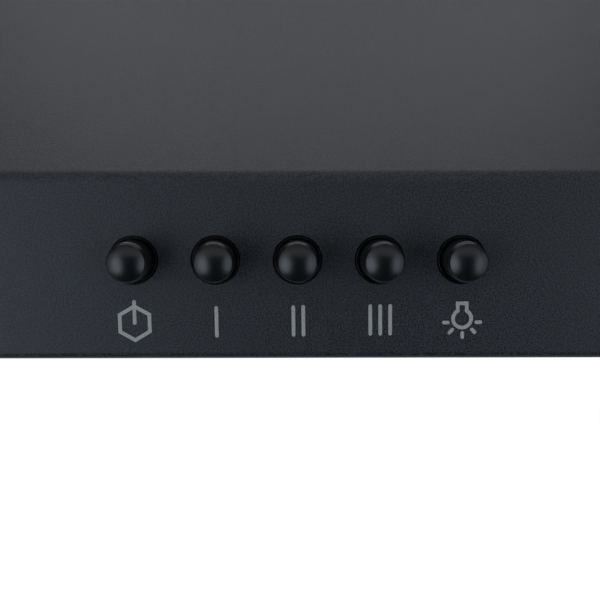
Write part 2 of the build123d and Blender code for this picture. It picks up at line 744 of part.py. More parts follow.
def button_cap(x):
    """Crowned button turned about its axis: flange, tapered barrel, groove, rounded rim and crown."""
    rim_centre = crown_edge_radius - crown_rim_radius
    crown_centre = crown_edge_height - sqrt((crown_radius - crown_rim_radius) ** 2 - rim_centre ** 2)
    rim_start = -acos((cap_groove_radius - rim_centre) / crown_rim_radius)
    rim_end = atan2(crown_edge_height - crown_centre, rim_centre)
    tip = crown_centre + crown_radius
    flange_out = front_y - cap_flange_y
    back = front_y - cap_back_y

    def on_rim(angle):
        return (rim_centre + crown_rim_radius * cos(angle), crown_edge_height + crown_rim_radius * sin(angle))

    def on_crown(angle):
        return (crown_radius * cos(angle), crown_centre + crown_radius * sin(angle))

    rim_foot = on_rim(rim_start)
    lines = [
        Line((0, back), (cap_flange_radius, back)),
        Line((cap_flange_radius, back), (cap_flange_radius, flange_out)),
        Line((cap_flange_radius, flange_out), (cap_base_radius, flange_out)),
        Line((cap_base_radius, flange_out), (cap_base_radius, 0)),
        Line((cap_base_radius, 0), (cap_neck_radius, cap_neck_height)),
        Line((cap_neck_radius, cap_neck_height), (cap_groove_radius, cap_neck_height)),
        Line((cap_groove_radius, cap_neck_height), rim_foot),
        ThreePointArc(rim_foot, on_rim((rim_start + rim_end) / 2), on_rim(rim_end)),
        ThreePointArc(on_rim(rim_end), on_crown((rim_end + pi / 2) / 2), (0, tip)),
        Line((0, tip), (0, back)),
    ]
    profile = make_face(Curve() + lines)
    turned = revolve(profile, Axis.Y)
    cap = Pos(x, front_y, button_z) * Rot(180, 0, 0) * turned
    socket = plunger_side / 2
    return cap - block(x - socket, x + socket, cap_back_y - 6, cap_back_y + 1, button_z - socket, button_z + socket)


def button_plunger(x):
    """Square stem pressed into the back of a button, working the switch."""
    half = plunger_side / 2
    stem = block(x - half, x + half, cap_back_y - 6, switch_front_y + 8, button_z - half, button_z + half)
    return chamfer(stem.faces().sort_by(Axis.Y)[-1].edges(), 0.6)


def switch_block():
    """Closed switch moulding with a well for each plunger."""
    half = switch_width / 2
    low = button_z - switch_block_height / 2
    back = switch_front_y + switch_block_depth
    body = block(-half, half, switch_front_y, back, low, low + switch_block_height)
    body = fillet(body.edges().filter_by(Axis.Y), 2)
    well = plunger_side / 2 + part_gap
    depth = 8 + button_travel + 1
    for x in button_xs:
        body -= block(x - well, x + well, switch_front_y - 1, switch_front_y + depth,
                      button_z - well, button_z + well)
        body += block(x - 7, x + 7, back, back + 6, button_z - 1, button_z + 1)
    return body


def switch_bracket():
    """Folded strap on the two fascia studs, passing behind the switch block."""
    half = switch_width / 2
    low = button_z - 8.0
    high = button_z + 8.0
    ear = switch_stud_x + switch_ear
    back = switch_front_y + switch_block_depth
    gap = part_gap
    strap = block(-half - gap - sheet, -half - gap, guide_back_y, back, low, high)
    strap += block(half + gap, half + gap + sheet, guide_back_y, back, low, high)
    strap += block(-ear, -half - gap, guide_back_y, guide_back_y + sheet, low, high)
    strap += block(half + gap, ear, guide_back_y, guide_back_y + sheet, low, high)
    top = button_z + switch_block_height / 2
    strap += block(-half - gap - sheet, half + gap + sheet, back - 16, back, top, top + sheet)
    strap += block(-half - gap - sheet, -half - gap, back - 16, back, high, top)
    strap += block(half + gap, half + gap + sheet, back - 16, back, high, top)
    for x in (-switch_stud_x, switch_stud_x):
        strap -= rod_y(switch_stud_radius + 0.1, guide_back_y - 1, guide_back_y + 2, x, button_z)
    return strap


def switch_nuts():
    """Hexagon nuts on the two fascia studs."""
    nuts = []
    for x in (-switch_stud_x, switch_stud_x):
        hexagon = Plane.XZ * (Pos(x, button_z) * RegularPolygon(3.8, 6))
        nut = extrude(hexagon, -2.8)
        nut = Pos(0, guide_back_y + sheet, 0) * nut
        nuts.append(nut - rod_y(switch_stud_radius, guide_back_y, guide_back_y + 8, x, button_z))
    return Compound(children=nuts)


def mirrored(solid, side):
    """The piece as built on the right, or its mirror image on the left."""
    return solid if side > 0 else mirror(solid, Plane.YZ)


def latch_x():
    """Middle of a filter, where its latch sits."""
    return (filter_x0 + filter_x1) / 2


def filter_frame(side):
    """Channel frame round the mesh, with two hook tabs at the back and a latch pocket at the front."""
    frame = block(filter_x0, filter_x1, filter_y0, filter_y1, filter_z0, filter_z1)
    frame = fillet(frame.edges().filter_by(Axis.Z), filter_corner)
    hole_x0, hole_x1 = filter_x0 + filter_border, filter_x1 - filter_border
    hole_y0, hole_y1 = filter_y0 + filter_border, filter_y1 - filter_border
    window = block(hole_x0, hole_x1, hole_y0, hole_y1, filter_z0 - 1, filter_z1 + 1)
    frame -= fillet(window.edges().filter_by(Axis.Z), 3)
    groove_low = (filter_z0 + filter_z1 - mesh_thickness) / 2
    frame -= block(hole_x0 - 5, hole_x1 + 5, hole_y0 - 5, hole_y1 + 5, groove_low, groove_low + mesh_thickness)
    x = latch_x()
    half = latch_width / 2
    frame += block(x - half, x + half, filter_y0, latch_y1, filter_z0, filter_z1)
    frame -= latch_pocket()
    for tab_x in (filter_x0 + 45, filter_x1 - 45):
        frame += block(tab_x - tab_width / 2, tab_x + tab_width / 2, filter_y1 - 6, hinge_y + tab_reach,
                       hinge_z, hinge_z + tab_thickness)
    return mirrored(frame, side)


def latch_pocket():
    """Space for the latch: open below for the finger, and through the front edge for the bolt."""
    x = latch_x()
    half = latch_width / 2 - latch_housing_wall
    pocket_y0 = filter_y0 + latch_housing_wall
    pocket = block(x - half, x + half, pocket_y0, latch_y1 - latch_housing_wall, filter_z0 - 1, filter_z1 - 1.5)
    bolt = bolt_half() + part_gap
    bolt_slot = block(x - bolt, x + bolt, filter_y0 - 1, pocket_y0 + 1, bolt_z0() - part_gap, filter_z1 - 1.5)
    return pocket + bolt_slot


def bolt_half():
    """Half the width of the latch bolt."""
    return 8.0


def bolt_z0():
    """Underside of the latch bolt, just above the panel."""
    return panel_z + panel_sheet + part_gap


def filter_latch(side):
    """Sprung slide with a finger lip, its bolt reaching out through the filter's front edge."""
    x = latch_x()
    half = latch_width / 2 - latch_housing_wall - part_gap
    y0 = filter_y0 + latch_housing_wall + part_gap
    y1 = latch_y1 - latch_housing_wall - latch_travel - part_gap
    top = filter_z1 - 1.5 - part_gap
    slide = block(x - half, x + half, y0, y1, bolt_z0(), top)
    slide += block(x - bolt_half(), x + bolt_half(), filter_y0 - filter_gap + part_gap, y0 + 1, bolt_z0(), top)
    slide += block(x - half, x + half, y0, y0 + 2, filter_z0, bolt_z0() + 1)
    return mirrored(slide, side)


def filter_mesh(side):
    """Flat pack of expanded metal, drawn with diamond openings, held in the frame's groove."""
    hole_x0, hole_x1 = filter_x0 + filter_border, filter_x1 - filter_border
    hole_y0, hole_y1 = filter_y0 + filter_border, filter_y1 - filter_border
    low = (filter_z0 + filter_z1 - mesh_thickness) / 2 + 0.1
    high = low + mesh_thickness - 0.2
    edge = 4.5
    pack = block(hole_x0 - edge, hole_x1 + edge, hole_y0 - edge, hole_y1 + edge, low, high)
    pocket_half = latch_width / 2 + part_gap
    x = latch_x()
    pack -= block(x - pocket_half, x + pocket_half, hole_y0 - edge - 1, latch_y1 + part_gap, low - 1, high + 1)
    cell_x = (hole_x1 - hole_x0) / mesh_columns
    cell_y = (hole_y1 - hole_y0 - latch_depth - 6) / mesh_rows
    diamond = Polygon(
        (-cell_x / 2 + mesh_strand / 2, 0),
        (0, -cell_y / 2 + mesh_strand / 2),
        (cell_x / 2 - mesh_strand / 2, 0),
        (0, cell_y / 2 - mesh_strand / 2),
        align=None,
    )
    places = []
    for row in range(mesh_rows):
        for column in range(mesh_columns):
            px = hole_x0 + cell_x * (column + 0.5)
            py = hole_y1 - cell_y * (row + 0.5)
            places.append(Pos(px, py, low) * diamond)
    pack -= extrude(Sketch() + places, high - low)
    return mirrored(pack, side)


def lamp_bezel(side):
    """Ring that carries a lamp in the underside panel."""
    x = side * lamp_x
    ring = rod_z(lamp_bezel_radius, panel_z - lamp_bezel_thickness, panel_z, x, lamp_y)
    ring = fillet(edges_at_height(ring, panel_z - lamp_bezel_thickness), 0.8)
    ring += rod_z(lamp_hole_radius - part_gap, panel_z, panel_z + panel_sheet + 3, x, lamp_y)
    ring -= rod_z(lamp_lens_radius, panel_z - 5, panel_z + 10, x, lamp_y)
    return ring


def lamp_lens(side):
    """Frosted disc, set back a little in its bezel."""
    x = side * lamp_x
    low = panel_z - lamp_bezel_thickness + 0.5
    return rod_z(lamp_lens_radius, low, low + lamp_lens_thickness, x, lamp_y)


def lamp_housing(side):
    """Cup behind a lamp, closed at the top."""
    x = side * lamp_x
    low = panel_z + panel_sheet + 3
    cup = rod_z(lamp_hole_radius - part_gap, low, low + lamp_housing_height, x, lamp_y)
    cup = fillet(edges_at_height(cup, low + lamp_housing_height), 3)
    return cup - rod_z(lamp_lens_radius, low - 1, low + lamp_housing_height - 2, x, lamp_y)


def junction_box():
    """Open-fronted box on the rear panel for the mains terminals."""
    back = panel_face_y
    x0 = box_x - box_width / 2
    z0 = rim_z + box_rise
    box = block(x0, x0 + box_width, back - box_depth, back, z0, z0 + box_height)
    box = fillet(box.edges().filter_by(Axis.Y), 4)
    w = box_wall
    box -= block(x0 + w, x0 + box_width - w, back - box_depth - 1, back - w, z0 + w, z0 + box_height - w)
    return box


def junction_cover():
    """Flat cover of the junction box."""
    front = panel_face_y - box_depth
    x0 = box_x - box_width / 2
    z0 = rim_z + box_rise
    cover = block(x0, x0 + box_width, front - 2, front, z0, z0 + box_height)
    return fillet(cover.edges().filter_by(Axis.Y), 4)


def terminal_block():
    """Three-way terminal strip on the floor of the junction box."""
    back = panel_face_y - box_wall
    z = rim_z + box_rise + box_height / 2
    strip = block(box_x - 20, box_x + 20, back - 12, back, z - 9, z + 9)
    for i in (-1, 0, 1):
        strip += block(box_x + 12 * i - 4, box_x + 12 * i + 4, back - 18, back - 12, z - 6, z + 6)
    return strip


def motor_capacitor():
    """Run capacitor hanging from the deck."""
    can = rod_z(capacitor_radius, deck_z - capacitor_length, deck_z, capacitor_x, capacitor_y)
    return fillet(edges_at_height(can, deck_z - capacitor_length), 2)


def led_driver():
    """Lamp supply lying on the underside panel, behind the fascia."""
    low = panel_z + panel_sheet
    y = lamp_y
    case = block(driver_x - driver_length / 2, driver_x + driver_length / 2, y - driver_depth / 2,
                 y + driver_depth / 2, low, low + driver_height)
    return fillet(case.edges().filter_by(Axis.Z), 3)


def cable_gland():
    """Gland through the deck for the supply cable, with a nut below."""
    thread = gland_nut * 0.6
    body = rod_z(thread, deck_z - 6, deck_top_z + gland_height, gland_x, gland_y)
    hexagon = Pos(gland_x, gland_y, deck_top_z) * RegularPolygon(gland_nut, 6)
    body += extrude(hexagon, 6)
    nut = Pos(gland_x, gland_y, deck_z) * RegularPolygon(gland_nut, 6)
    body += extrude(nut, -4)
    body += rod_z(gland_nut * 0.8, deck_top_z + 6, deck_top_z + gland_height - 2, gland_x, gland_y)
    return body - rod_z(gland_bore, deck_z - 20, deck_top_z + 40, gland_x, gland_y)


def build():
    """Every piece, by node name."""
    pieces = {
        "canopy_shell": canopy_shell(),
        "rear_panel": rear_panel(),
        "underside_panel": underside_panel(),
        "panel_screws": panel_screws(),
        "blower_deck": blower_deck(),
        "deck_screws": deck_screws(),
        "scroll_left_half": scroll_half(-1),
        "scroll_right_half": scroll_half(1),
        "impeller": impeller(),
        "motor_shaft": motor_shaft(),
        "motor": motor(),
        "motor_spider": motor_spider(),
        "outlet_spigot": outlet_spigot(),
        "damper_pin": damper_pin(),
        "damper_front_flap": damper_flap(-1),
        "damper_rear_flap": damper_flap(1),
        "lower_flue_cover": lower_flue_cover(),
        "upper_flue_cover": upper_flue_cover(),
        "upper_flue_bracket": upper_flue_bracket(),
        "flue_foot_brackets": flue_foot_brackets(),
        "lower_flue_screws": lower_flue_screws(),
        "button_guide": button_guide(),
        "switch_block": switch_block(),
        "switch_bracket": switch_bracket(),
        "switch_nuts": switch_nuts(),
        "junction_box": junction_box(),
        "junction_cover": junction_cover(),
        "terminal_block": terminal_block(),
        "motor_capacitor": motor_capacitor(),
        "led_driver": led_driver(),
        "cable_gland": cable_gland(),
    }
    for name, x in zip(button_names, button_xs):
        pieces["button_" + name] = button_cap(x)
        pieces["plunger_" + name] = button_plunger(x)
    for name, side in (("left", -1), ("right", 1)):
        pieces["filter_frame_" + name] = filter_frame(side)
        pieces["filter_mesh_" + name] = filter_mesh(side)
        pieces["filter_latch_" + name] = filter_latch(side)
        pieces["lamp_bezel_" + name] = lamp_bezel(side)
        pieces["lamp_lens_" + name] = lamp_lens(side)
        pieces["lamp_housing_" + name] = lamp_housing(side)
    return pieces


os.makedirs("parts", exist_ok=True)
for node, solid in build().items():
    export_step(solid, "parts/" + node + ".step")
    print(node, "written")
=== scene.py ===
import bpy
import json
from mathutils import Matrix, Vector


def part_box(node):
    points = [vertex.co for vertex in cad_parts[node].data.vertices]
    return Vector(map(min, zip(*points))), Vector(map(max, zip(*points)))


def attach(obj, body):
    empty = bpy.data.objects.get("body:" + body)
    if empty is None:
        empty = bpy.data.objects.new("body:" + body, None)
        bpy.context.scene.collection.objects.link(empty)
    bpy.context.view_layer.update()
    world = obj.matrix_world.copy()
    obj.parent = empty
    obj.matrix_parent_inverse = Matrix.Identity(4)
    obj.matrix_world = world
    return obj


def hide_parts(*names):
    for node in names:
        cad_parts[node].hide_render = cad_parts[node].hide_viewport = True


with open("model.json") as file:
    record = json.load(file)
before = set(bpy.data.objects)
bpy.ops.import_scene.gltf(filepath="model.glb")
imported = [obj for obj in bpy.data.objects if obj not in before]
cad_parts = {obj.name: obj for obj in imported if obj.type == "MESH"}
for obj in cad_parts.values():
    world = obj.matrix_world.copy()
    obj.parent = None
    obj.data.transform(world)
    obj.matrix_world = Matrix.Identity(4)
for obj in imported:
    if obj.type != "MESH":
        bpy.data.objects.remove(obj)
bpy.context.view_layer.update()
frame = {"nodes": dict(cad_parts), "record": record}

import json
import math
import bpy
import numpy as np
from mathutils import Vector

mm = 0.001
scene = bpy.context.scene
nodes = frame["nodes"]
buttonOrder = ["power", "speed_1", "speed_2", "speed_3", "lamp"]


def midOf(node):
    low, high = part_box(node)
    return (low + high) / 2


canopyLow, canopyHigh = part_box("canopy_shell")
faceY = canopyLow.y                          # front of the fascia
rimZ = canopyLow.z                           # bottom edge of the canopy
buttonZ = midOf("button_speed_2").z
buttonXs = [midOf("button_" + name).x for name in buttonOrder]


# ---------- camera ----------
cameraSet = {"lens": 50.6, "sensor": 36.0, "ahead": 256.4 * mm, "above": 19.8 * mm, "side": 0.8 * mm,
             "pitch": 7.14, "roll": 0.11}


def makeCamera(s):
    data = bpy.data.cameras.new("camera")
    data.lens = s["lens"]
    data.sensor_width = s["sensor"]
    data.clip_start = 0.01
    data.clip_end = 50
    camera = bpy.data.objects.new("camera", data)
    camera.location = (s["side"], faceY - s["ahead"], buttonZ + s["above"])
    camera.rotation_mode = "XYZ"
    # turned up from straight down by a right angle less the pitch, then rolled about the frame's Y axis
    camera.rotation_euler = (math.radians(90 - s["pitch"]), math.radians(s["roll"]), 0)
    scene.collection.objects.link(camera)
    scene.camera = camera


makeCamera(cameraSet)
print("camera placed")


# ---------- surfaces ----------
foldAngle = 30.0                             # degrees; sharper edges of folded sheet and mouldings are shown as edges


def newPiece(name, verts, faces, sharp=40.0):
    mesh = bpy.data.meshes.new(name)
    mesh.from_pydata([tuple(v) for v in verts], [], [tuple(int(i) for i in f) for f in faces])
    mesh.update()
    mesh.polygons.foreach_set("use_smooth", np.ones(len(mesh.polygons), bool))
    mesh.set_sharp_from_angle(angle=math.radians(sharp))
    piece = bpy.data.objects.new(name, mesh)
    scene.collection.objects.link(piece)
    return piece


def ringFaces(rows, steps):
    # quads between neighbouring rings of a closed sweep, ring after ring
    i, j = np.meshgrid(np.arange(rows - 1), np.arange(steps), indexing="ij")
    k = (j + 1) % steps
    return np.stack([i * steps + j, i * steps + k, (i + 1) * steps + k, (i + 1) * steps + j], -1).reshape(-1, 4)


def wheelRound(axis, steps):
    # the axis as an array, and unit directions square to it in equal steps round it
    axis = np.array(axis, float)
    across = np.array([0.0, 0.0, 1.0]) if abs(axis[2]) < 0.5 else np.array([1.0, 0.0, 0.0])
    side = np.cross(axis, across)
    turn = np.linspace(0, 2 * np.pi, steps, endpoint=False)
    return axis, np.cos(turn)[:, None] * across + np.sin(turn)[:, None] * side


def turnedParts(profile, centre, axis, steps):
    # profile rows are (radius, distance along the axis), each carried round the axis in equal steps;
    # the first and last row lie on the axis and close the form with a fan
    axis, wheel = wheelRound(axis, steps)
    profile = np.array(profile, float)
    rings = profile[1:-1]
    body = rings[:, 0, None, None] * wheel + rings[:, 1, None, None] * axis
    verts = np.vstack([body.reshape(-1, 3), profile[0, 1] * axis, profile[-1, 1] * axis]) + np.array(centre)
    rows = len(rings)
    quads = ringFaces(rows, steps)
    first, last = rows * steps, rows * steps + 1
    j = np.arange(steps)
    k = (j + 1) % steps
    fanA = np.stack([np.full(steps, first), k, j], -1)
    fanB = np.stack([np.full(steps, last), (rows - 1) * steps + j, (rows - 1) * steps + k], -1)
    return verts, [list(f) for f in quads] + [list(f) for f in fanA] + [list(f) for f in fanB]


def arcRows(centre, radius, start, end, count):
    # points on an arc about (radius, along) centre, between two angles in degrees
    a = np.radians(np.linspace(start, end, count))
    return np.stack([centre[0] + radius * np.cos(a), centre[1] + radius * np.sin(a)], -1)


def softEdges(piece, width, segments=3, angle=35.0):
    # small rounding along every edge sharper than the angle, with the flat faces' shading kept flat
    edge = piece.modifiers.new("edges", "BEVEL")
    edge.limit_method = "ANGLE"
    edge.angle_limit = math.radians(angle)
    edge.width = width * mm
    edge.segments = segments
    edge.harden_normals = True


def joinParts(parts):
    verts, faces, offset = [], [], 0
    for v, f in parts:
        verts.append(v)
        faces += [[i + offset for i in face] for face in f]
        offset += len(v)
    return np.vstack(verts), faces


def loopParts(profile, centre, axis, steps):
    # closed section (radius, distance along the axis) carried round the axis, its last ring joined to its first
    axis, wheel = wheelRound(axis, steps)
    p = np.array(profile)
    verts = (p[:, 0, None, None] * wheel + p[:, 1, None, None] * axis).reshape(-1, 3) + np.array(centre)
    quads = ringFaces(len(p) + 1, steps) % (len(p) * steps)
    return verts, [list(f) for f in quads]


# ---------- materials ----------
noiseLow, noiseHigh = 0.3, 0.7               # most of a noise's values lie between these


def newMaterial(name):
    material = bpy.data.materials.new(name)
    material.use_nodes = True
    tree = material.node_tree
    shader = tree.nodes["Principled BSDF"]
    return material, tree, shader


def objectPlace(tree, scale=(1, 1, 1)):
    place = tree.nodes.new("ShaderNodeTexCoord")
    mapping = tree.nodes.new("ShaderNodeMapping")
    mapping.inputs["Scale"].default_value = scale
    tree.links.new(place.outputs["Object"], mapping.inputs["Vector"])
    return mapping.outputs["Vector"]


def noise(tree, place, scale, detail=2.0, rough=0.5):
    node = tree.nodes.new("ShaderNodeTexNoise")
    node.inputs["Scale"].default_value = scale
    node.inputs["Detail"].default_value = detail
    node.inputs["Roughness"].default_value = rough
    tree.links.new(place, node.inputs["Vector"])
    return node.outputs["Fac"]


def ramp(tree, value, stops):
    node = tree.nodes.new("ShaderNodeValToRGB")
    band = node.color_ramp
    while len(band.elements) < len(stops):
        band.elements.new(0.5)
    for element, (at, colour) in zip(band.elements, stops):
        element.position = at
        element.color = (*colour, 1)
    tree.links.new(value, node.inputs["Fac"])
    return node.outputs["Color"]


def span(tree, value, low, high):
    node = tree.nodes.new("ShaderNodeMapRange")
    node.inputs["From Min"].default_value = noiseLow
    node.inputs["From Max"].default_value = noiseHigh
    node.inputs["To Min"].default_value = low
    node.inputs["To Max"].default_value = high
    tree.links.new(value, node.inputs["Value"])
    return node.outputs["Result"]


def bump(tree, shader, height, strength, distance):
    node = tree.nodes.new("ShaderNodeBump")
    node.inputs["Strength"].default_value = strength
    node.inputs["Distance"].default_value = distance
    tree.links.new(height, node.inputs["Height"])
    tree.links.new(node.outputs["Normal"], shader.inputs["Normal"])


def grainy(name, dark, light, rough, grain, strength, depth, metal=0.0, stretch=(1, 1, 1)):
    # fine grain of one size drives colour, gloss and relief together
    material, tree, shader = newMaterial(name)
    place = objectPlace(tree, stretch)
    fine = noise(tree, place, 1 / grain, 3.0, 0.6)
    tree.links.new(ramp(tree, fine, [(noiseLow, dark), (noiseHigh, light)]), shader.inputs["Base Color"])
    tree.links.new(span(tree, fine, rough[0], rough[1]), shader.inputs["Roughness"])
    shader.inputs["Metallic"].default_value = metal
    bump(tree, shader, fine, strength, depth)
    return material


def grey(value, tint=(1, 1, 1)):
    return tuple(value * t for t in tint)


zincSet = {"cells": 140, "dark": grey(0.36), "light": grey(0.5, (1, 1.01, 1.03)), "rough": (0.34, 0.5),
           "grain": 900, "strength": 0.2, "depth": 0.00004}


def galvanised(s):
    # flat crystals, each a little lighter or darker than its neighbours, under a fine rolled grain
    material, tree, shader = newMaterial("galvanisedSheet")
    place = objectPlace(tree)
    cells = tree.nodes.new("ShaderNodeTexVoronoi")
    cells.inputs["Scale"].default_value = s["cells"]
    tree.links.new(place, cells.inputs["Vector"])
    split = tree.nodes.new("ShaderNodeSeparateColor")
    tree.links.new(cells.outputs["Color"], split.inputs["Color"])
    tone = split.outputs["Red"]
    tree.links.new(ramp(tree, tone, [(0.0, s["dark"]), (1.0, s["light"])]), shader.inputs["Base Color"])
    tree.links.new(span(tree, tone, *s["rough"]), shader.inputs["Roughness"])
    shader.inputs["Metallic"].default_value = 1.0
    bump(tree, shader, noise(tree, place, s["grain"]), s["strength"], s["depth"])
    return material


lensSet = {"pebble": 900, "dark": grey(0.7), "light": grey(0.82), "rough": 0.35, "clear": 0.35, "strength": 0.25,
           "depth": 0.00005}


def frosted(s):
    # opal disc: pale, partly see-through, finely pebbled
    material, tree, shader = newMaterial("frostedLens")
    fine = noise(tree, objectPlace(tree), s["pebble"])
    tree.links.new(ramp(tree, fine, [(noiseLow, s["dark"]), (noiseHigh, s["light"])]), shader.inputs["Base Color"])
    shader.inputs["Roughness"].default_value = s["rough"]
    shader.inputs["Transmission Weight"].default_value = s["clear"]
    bump(tree, shader, fine, s["strength"], s["depth"])
    return material


powderSet = {"peel": 1.1, "grain": 0.5, "grainRough": 0.6, "grainShare": 2.6, "rough": (0.42, 0.58),
             "dark": (0.45, grey(0.003, (0.95, 1.0, 1.04))), "light": (0.55, grey(0.029, (0.84, 0.98, 1.2))),
             "strength": 1.0, "depth": 0.00003}


def powderCoat(s):
    # baked powder: height is peel + share * grain, two sizes of soft noise; the grain alone sets a faint speckle
    # of darker and of paler, bluer grains, and their gloss
    material, tree, shader = newMaterial("powderCoat")
    place = objectPlace(tree)
    peel = noise(tree, place, 1 / (s["peel"] * mm))
    grain = noise(tree, place, 1 / (s["grain"] * mm), rough=s["grainRough"])
    tree.links.new(ramp(tree, grain, [s["dark"], s["light"]]), shader.inputs["Base Color"])
    tree.links.new(span(tree, grain, *s["rough"]), shader.inputs["Roughness"])
    mix = tree.nodes.new("ShaderNodeMath")
    mix.operation = "MULTIPLY_ADD"
    mix.inputs[1].default_value = s["grainShare"]
    tree.links.new(grain, mix.inputs[0])
    tree.links.new(peel, mix.inputs[2])
    bump(tree, shader, mix.outputs[0], s["strength"], s["depth"])
    return material


coolBlack = (0.8, 1.0, 1.3)
inkTint = (1.04, 1.01, 0.96)
# each grainy surface: darkest and lightest colour, gloss range, grain size, relief strength and depth
materials = {
    "black_paint": powderCoat(powderSet),
    "satin_black_plastic": grainy("satinBlackPlastic", grey(0.002, coolBlack), grey(0.0035, coolBlack), (0.28, 0.33),
                                  0.25 * mm, 0.1, 0.00001),
    "grey_plastic": grainy("greyHousingPlastic", grey(0.2), grey(0.25), (0.42, 0.55), 0.5 * mm, 0.3, 0.00004),
    "white_plastic": grainy("whitePlastic", grey(0.62), grey(0.7), (0.35, 0.45), 0.5 * mm, 0.2, 0.00003),
    "galvanised": galvanised(zincSet),
    "filter_aluminium": grainy("filterAluminium", grey(0.52), grey(0.64), (0.28, 0.42), 0.6 * mm, 0.3, 0.00003,
                               metal=1.0, stretch=(1, 0.06, 1)),
    "mesh_aluminium": grainy("meshAluminium", grey(0.5), grey(0.66), (0.25, 0.4), 0.9 * mm, 0.3, 0.00005,
                             metal=1.0),
    "motor_steel": grainy("motorSteel", grey(0.3), grey(0.38), (0.35, 0.5), 0.6 * mm, 0.3, 0.00003, metal=1.0),
    "pin_steel": grainy("groundSteel", grey(0.5), grey(0.6), (0.2, 0.3), 0.4 * mm, 0.15, 0.00001, metal=1.0),
    "screw_steel": grainy("zincScrew", grey(0.48), grey(0.6), (0.25, 0.4), 0.4 * mm, 0.2, 0.00002, metal=1.0),
    "lamp_trim": grainy("satinChrome", grey(0.6), grey(0.7), (0.22, 0.3), 0.3 * mm, 0.1, 0.00001, metal=1.0),
    "lamp_lens": frosted(lensSet),
    "lamp_cup": grainy("castAluminium", grey(0.4), grey(0.5), (0.4, 0.55), 0.8 * mm, 0.4, 0.00006, metal=1.0),
}
markInk = grainy("markInk", grey(0.31, inkTint), grey(0.38, inkTint), (0.45, 0.6), 0.75 * mm, 0.5, 0.00006)


def paint(piece, slotName, material=None):
    piece.data.materials.clear()
    piece.data.materials.append(material or materials[slotName])


slotOf = {row["node"]: row["material_slot"] for row in frame["record"]["subparts"]}
for name, node in nodes.items():
    paint(node, slotOf[name])
print("materials given to", len(nodes), "nodes")


# ---------- canopy ----------
canopySet = {"sheet": 1.0, "creaseRadius": 5.5, "rimRadius": 2.5, "corner": 6.0, "rimFlange": 20.0, "topFlange": 12.0,
             "rearFlange": 16.0, "aboveButtons": 25.6, "topWidth": 282.0, "topDepth": 268.0, "hole": 7.45, "cell": 11.0,
             "cellSteps": 24, "ringSteps": 3, "bendSteps": 12, "cornerSteps": 8, "support": 0.5, "edge": 0.22,
             "seamInset": 1.02}


def profileRows(s, width, depth, height):
    # rows (front inset, front height, side inset, side height) up the outer face of the sheet: bottom flange,
    # rim arc, fascia, crease arc, slope, top flange; front and side share each row but turn by their own angle
    buttonHeight = (buttonZ - rimZ) / mm
    fascia = buttonHeight + s["aboveButtons"]
    frontTurn = math.pi / 2 - math.atan2(height - fascia, depth - s["topDepth"])
    sideTurn = math.pi / 2 - math.atan2(height - fascia, (width - s["topWidth"]) / 2)
    near = s["support"]
    rows = [(s["rimFlange"], 0) * 2, (s["rimRadius"] + near, 0) * 2]
    a = np.linspace(0, math.pi / 2, s["bendSteps"])
    rim = np.stack([s["rimRadius"] * (1 - np.sin(a)), s["rimRadius"] * (1 - np.cos(a))], -1)
    rows += [tuple(r) * 2 for r in rim] + [(0, s["rimRadius"] + near) * 2]
    for step in np.linspace(-s["cell"], s["cell"], s["cellSteps"] + 1):
        rows.append((0, buttonHeight + step) * 2)
    radius = s["creaseRadius"]
    reach = [radius * math.tan(turn / 2) for turn in (frontTurn, sideTurn)]
    rows.append((0, fascia - reach[0] - near, 0, fascia - reach[1] - near))
    for f in np.linspace(0, 1, s["bendSteps"]):
        row = []
        for turn, r in zip((frontTurn, sideTurn), reach):
            row += [radius * (1 - math.cos(f * turn)), fascia - r + radius * math.sin(f * turn)]
        rows.append(tuple(row))
    beyond = []
    for turn, r in zip((frontTurn, sideTurn), reach):
        beyond += [(r + near) * math.sin(turn), fascia + (r + near) * math.cos(turn)]
    rows.append(tuple(beyond))
    insets = depth - s["topDepth"], (width - s["topWidth"]) / 2
    rows.append((insets[0], height, insets[1], height))
    rows.append((insets[0] + s["topFlange"], height, insets[1] + s["topFlange"], height))
    return np.array(rows)


def frontColumns(s, half):
    # x places along the front: even steps over each button, one step elsewhere, narrow steps at the corners
    xs = [-half, -half + s["support"], half - s["support"], half]
    for x in buttonXs:
        xs += list(x / mm + np.linspace(-s["cell"], s["cell"], s["cellSteps"] + 1))
    return np.array(sorted(xs))


def canopyGrid(s):
    # plan outline at each row: left wall, quarter-round corner, front, corner, right wall
    width = (canopyHigh.x - canopyLow.x) / mm
    depth = -canopyLow.y / mm
    height = (canopyHigh.z - canopyLow.z) / mm
    rows = profileRows(s, width, depth, height)
    dF, zF, dS, zS = (rows[:, i][:, None] for i in range(4))
    half = width / 2 - dS
    r = s["corner"]
    sheet = s["sheet"]
    flat = half - r
    front = -depth + dF
    one = np.ones_like(dF)
    phi = np.linspace(0, math.pi / 2, s["cornerSteps"] + 1)[None, :]
    backX = [-half, -half]
    backY = [-sheet * one, front + r + s["support"]]
    leftX = np.hstack(backX + [-flat - r * np.cos(phi)])
    leftY = np.hstack(backY + [front + r - r * np.sin(phi)])
    leftZ = np.hstack([zS, zS, zS + (zF - zS) * (phi / (math.pi / 2))])
    columns = frontColumns(s, width / 2 - r)[1:-1]
    midX = columns[None, :] * flat / (width / 2 - r)
    midY = front + 0 * midX
    midZ = zF + 0 * midX
    x = np.hstack([leftX, midX, -leftX[:, ::-1]])
    y = np.hstack([leftY, midY, leftY[:, ::-1]])
    z = np.hstack([leftZ, midZ, leftZ[:, ::-1]])
    verts = np.stack([x * mm, y * mm, z * mm + rimZ], -1)
    return verts, leftX.shape[1], columns


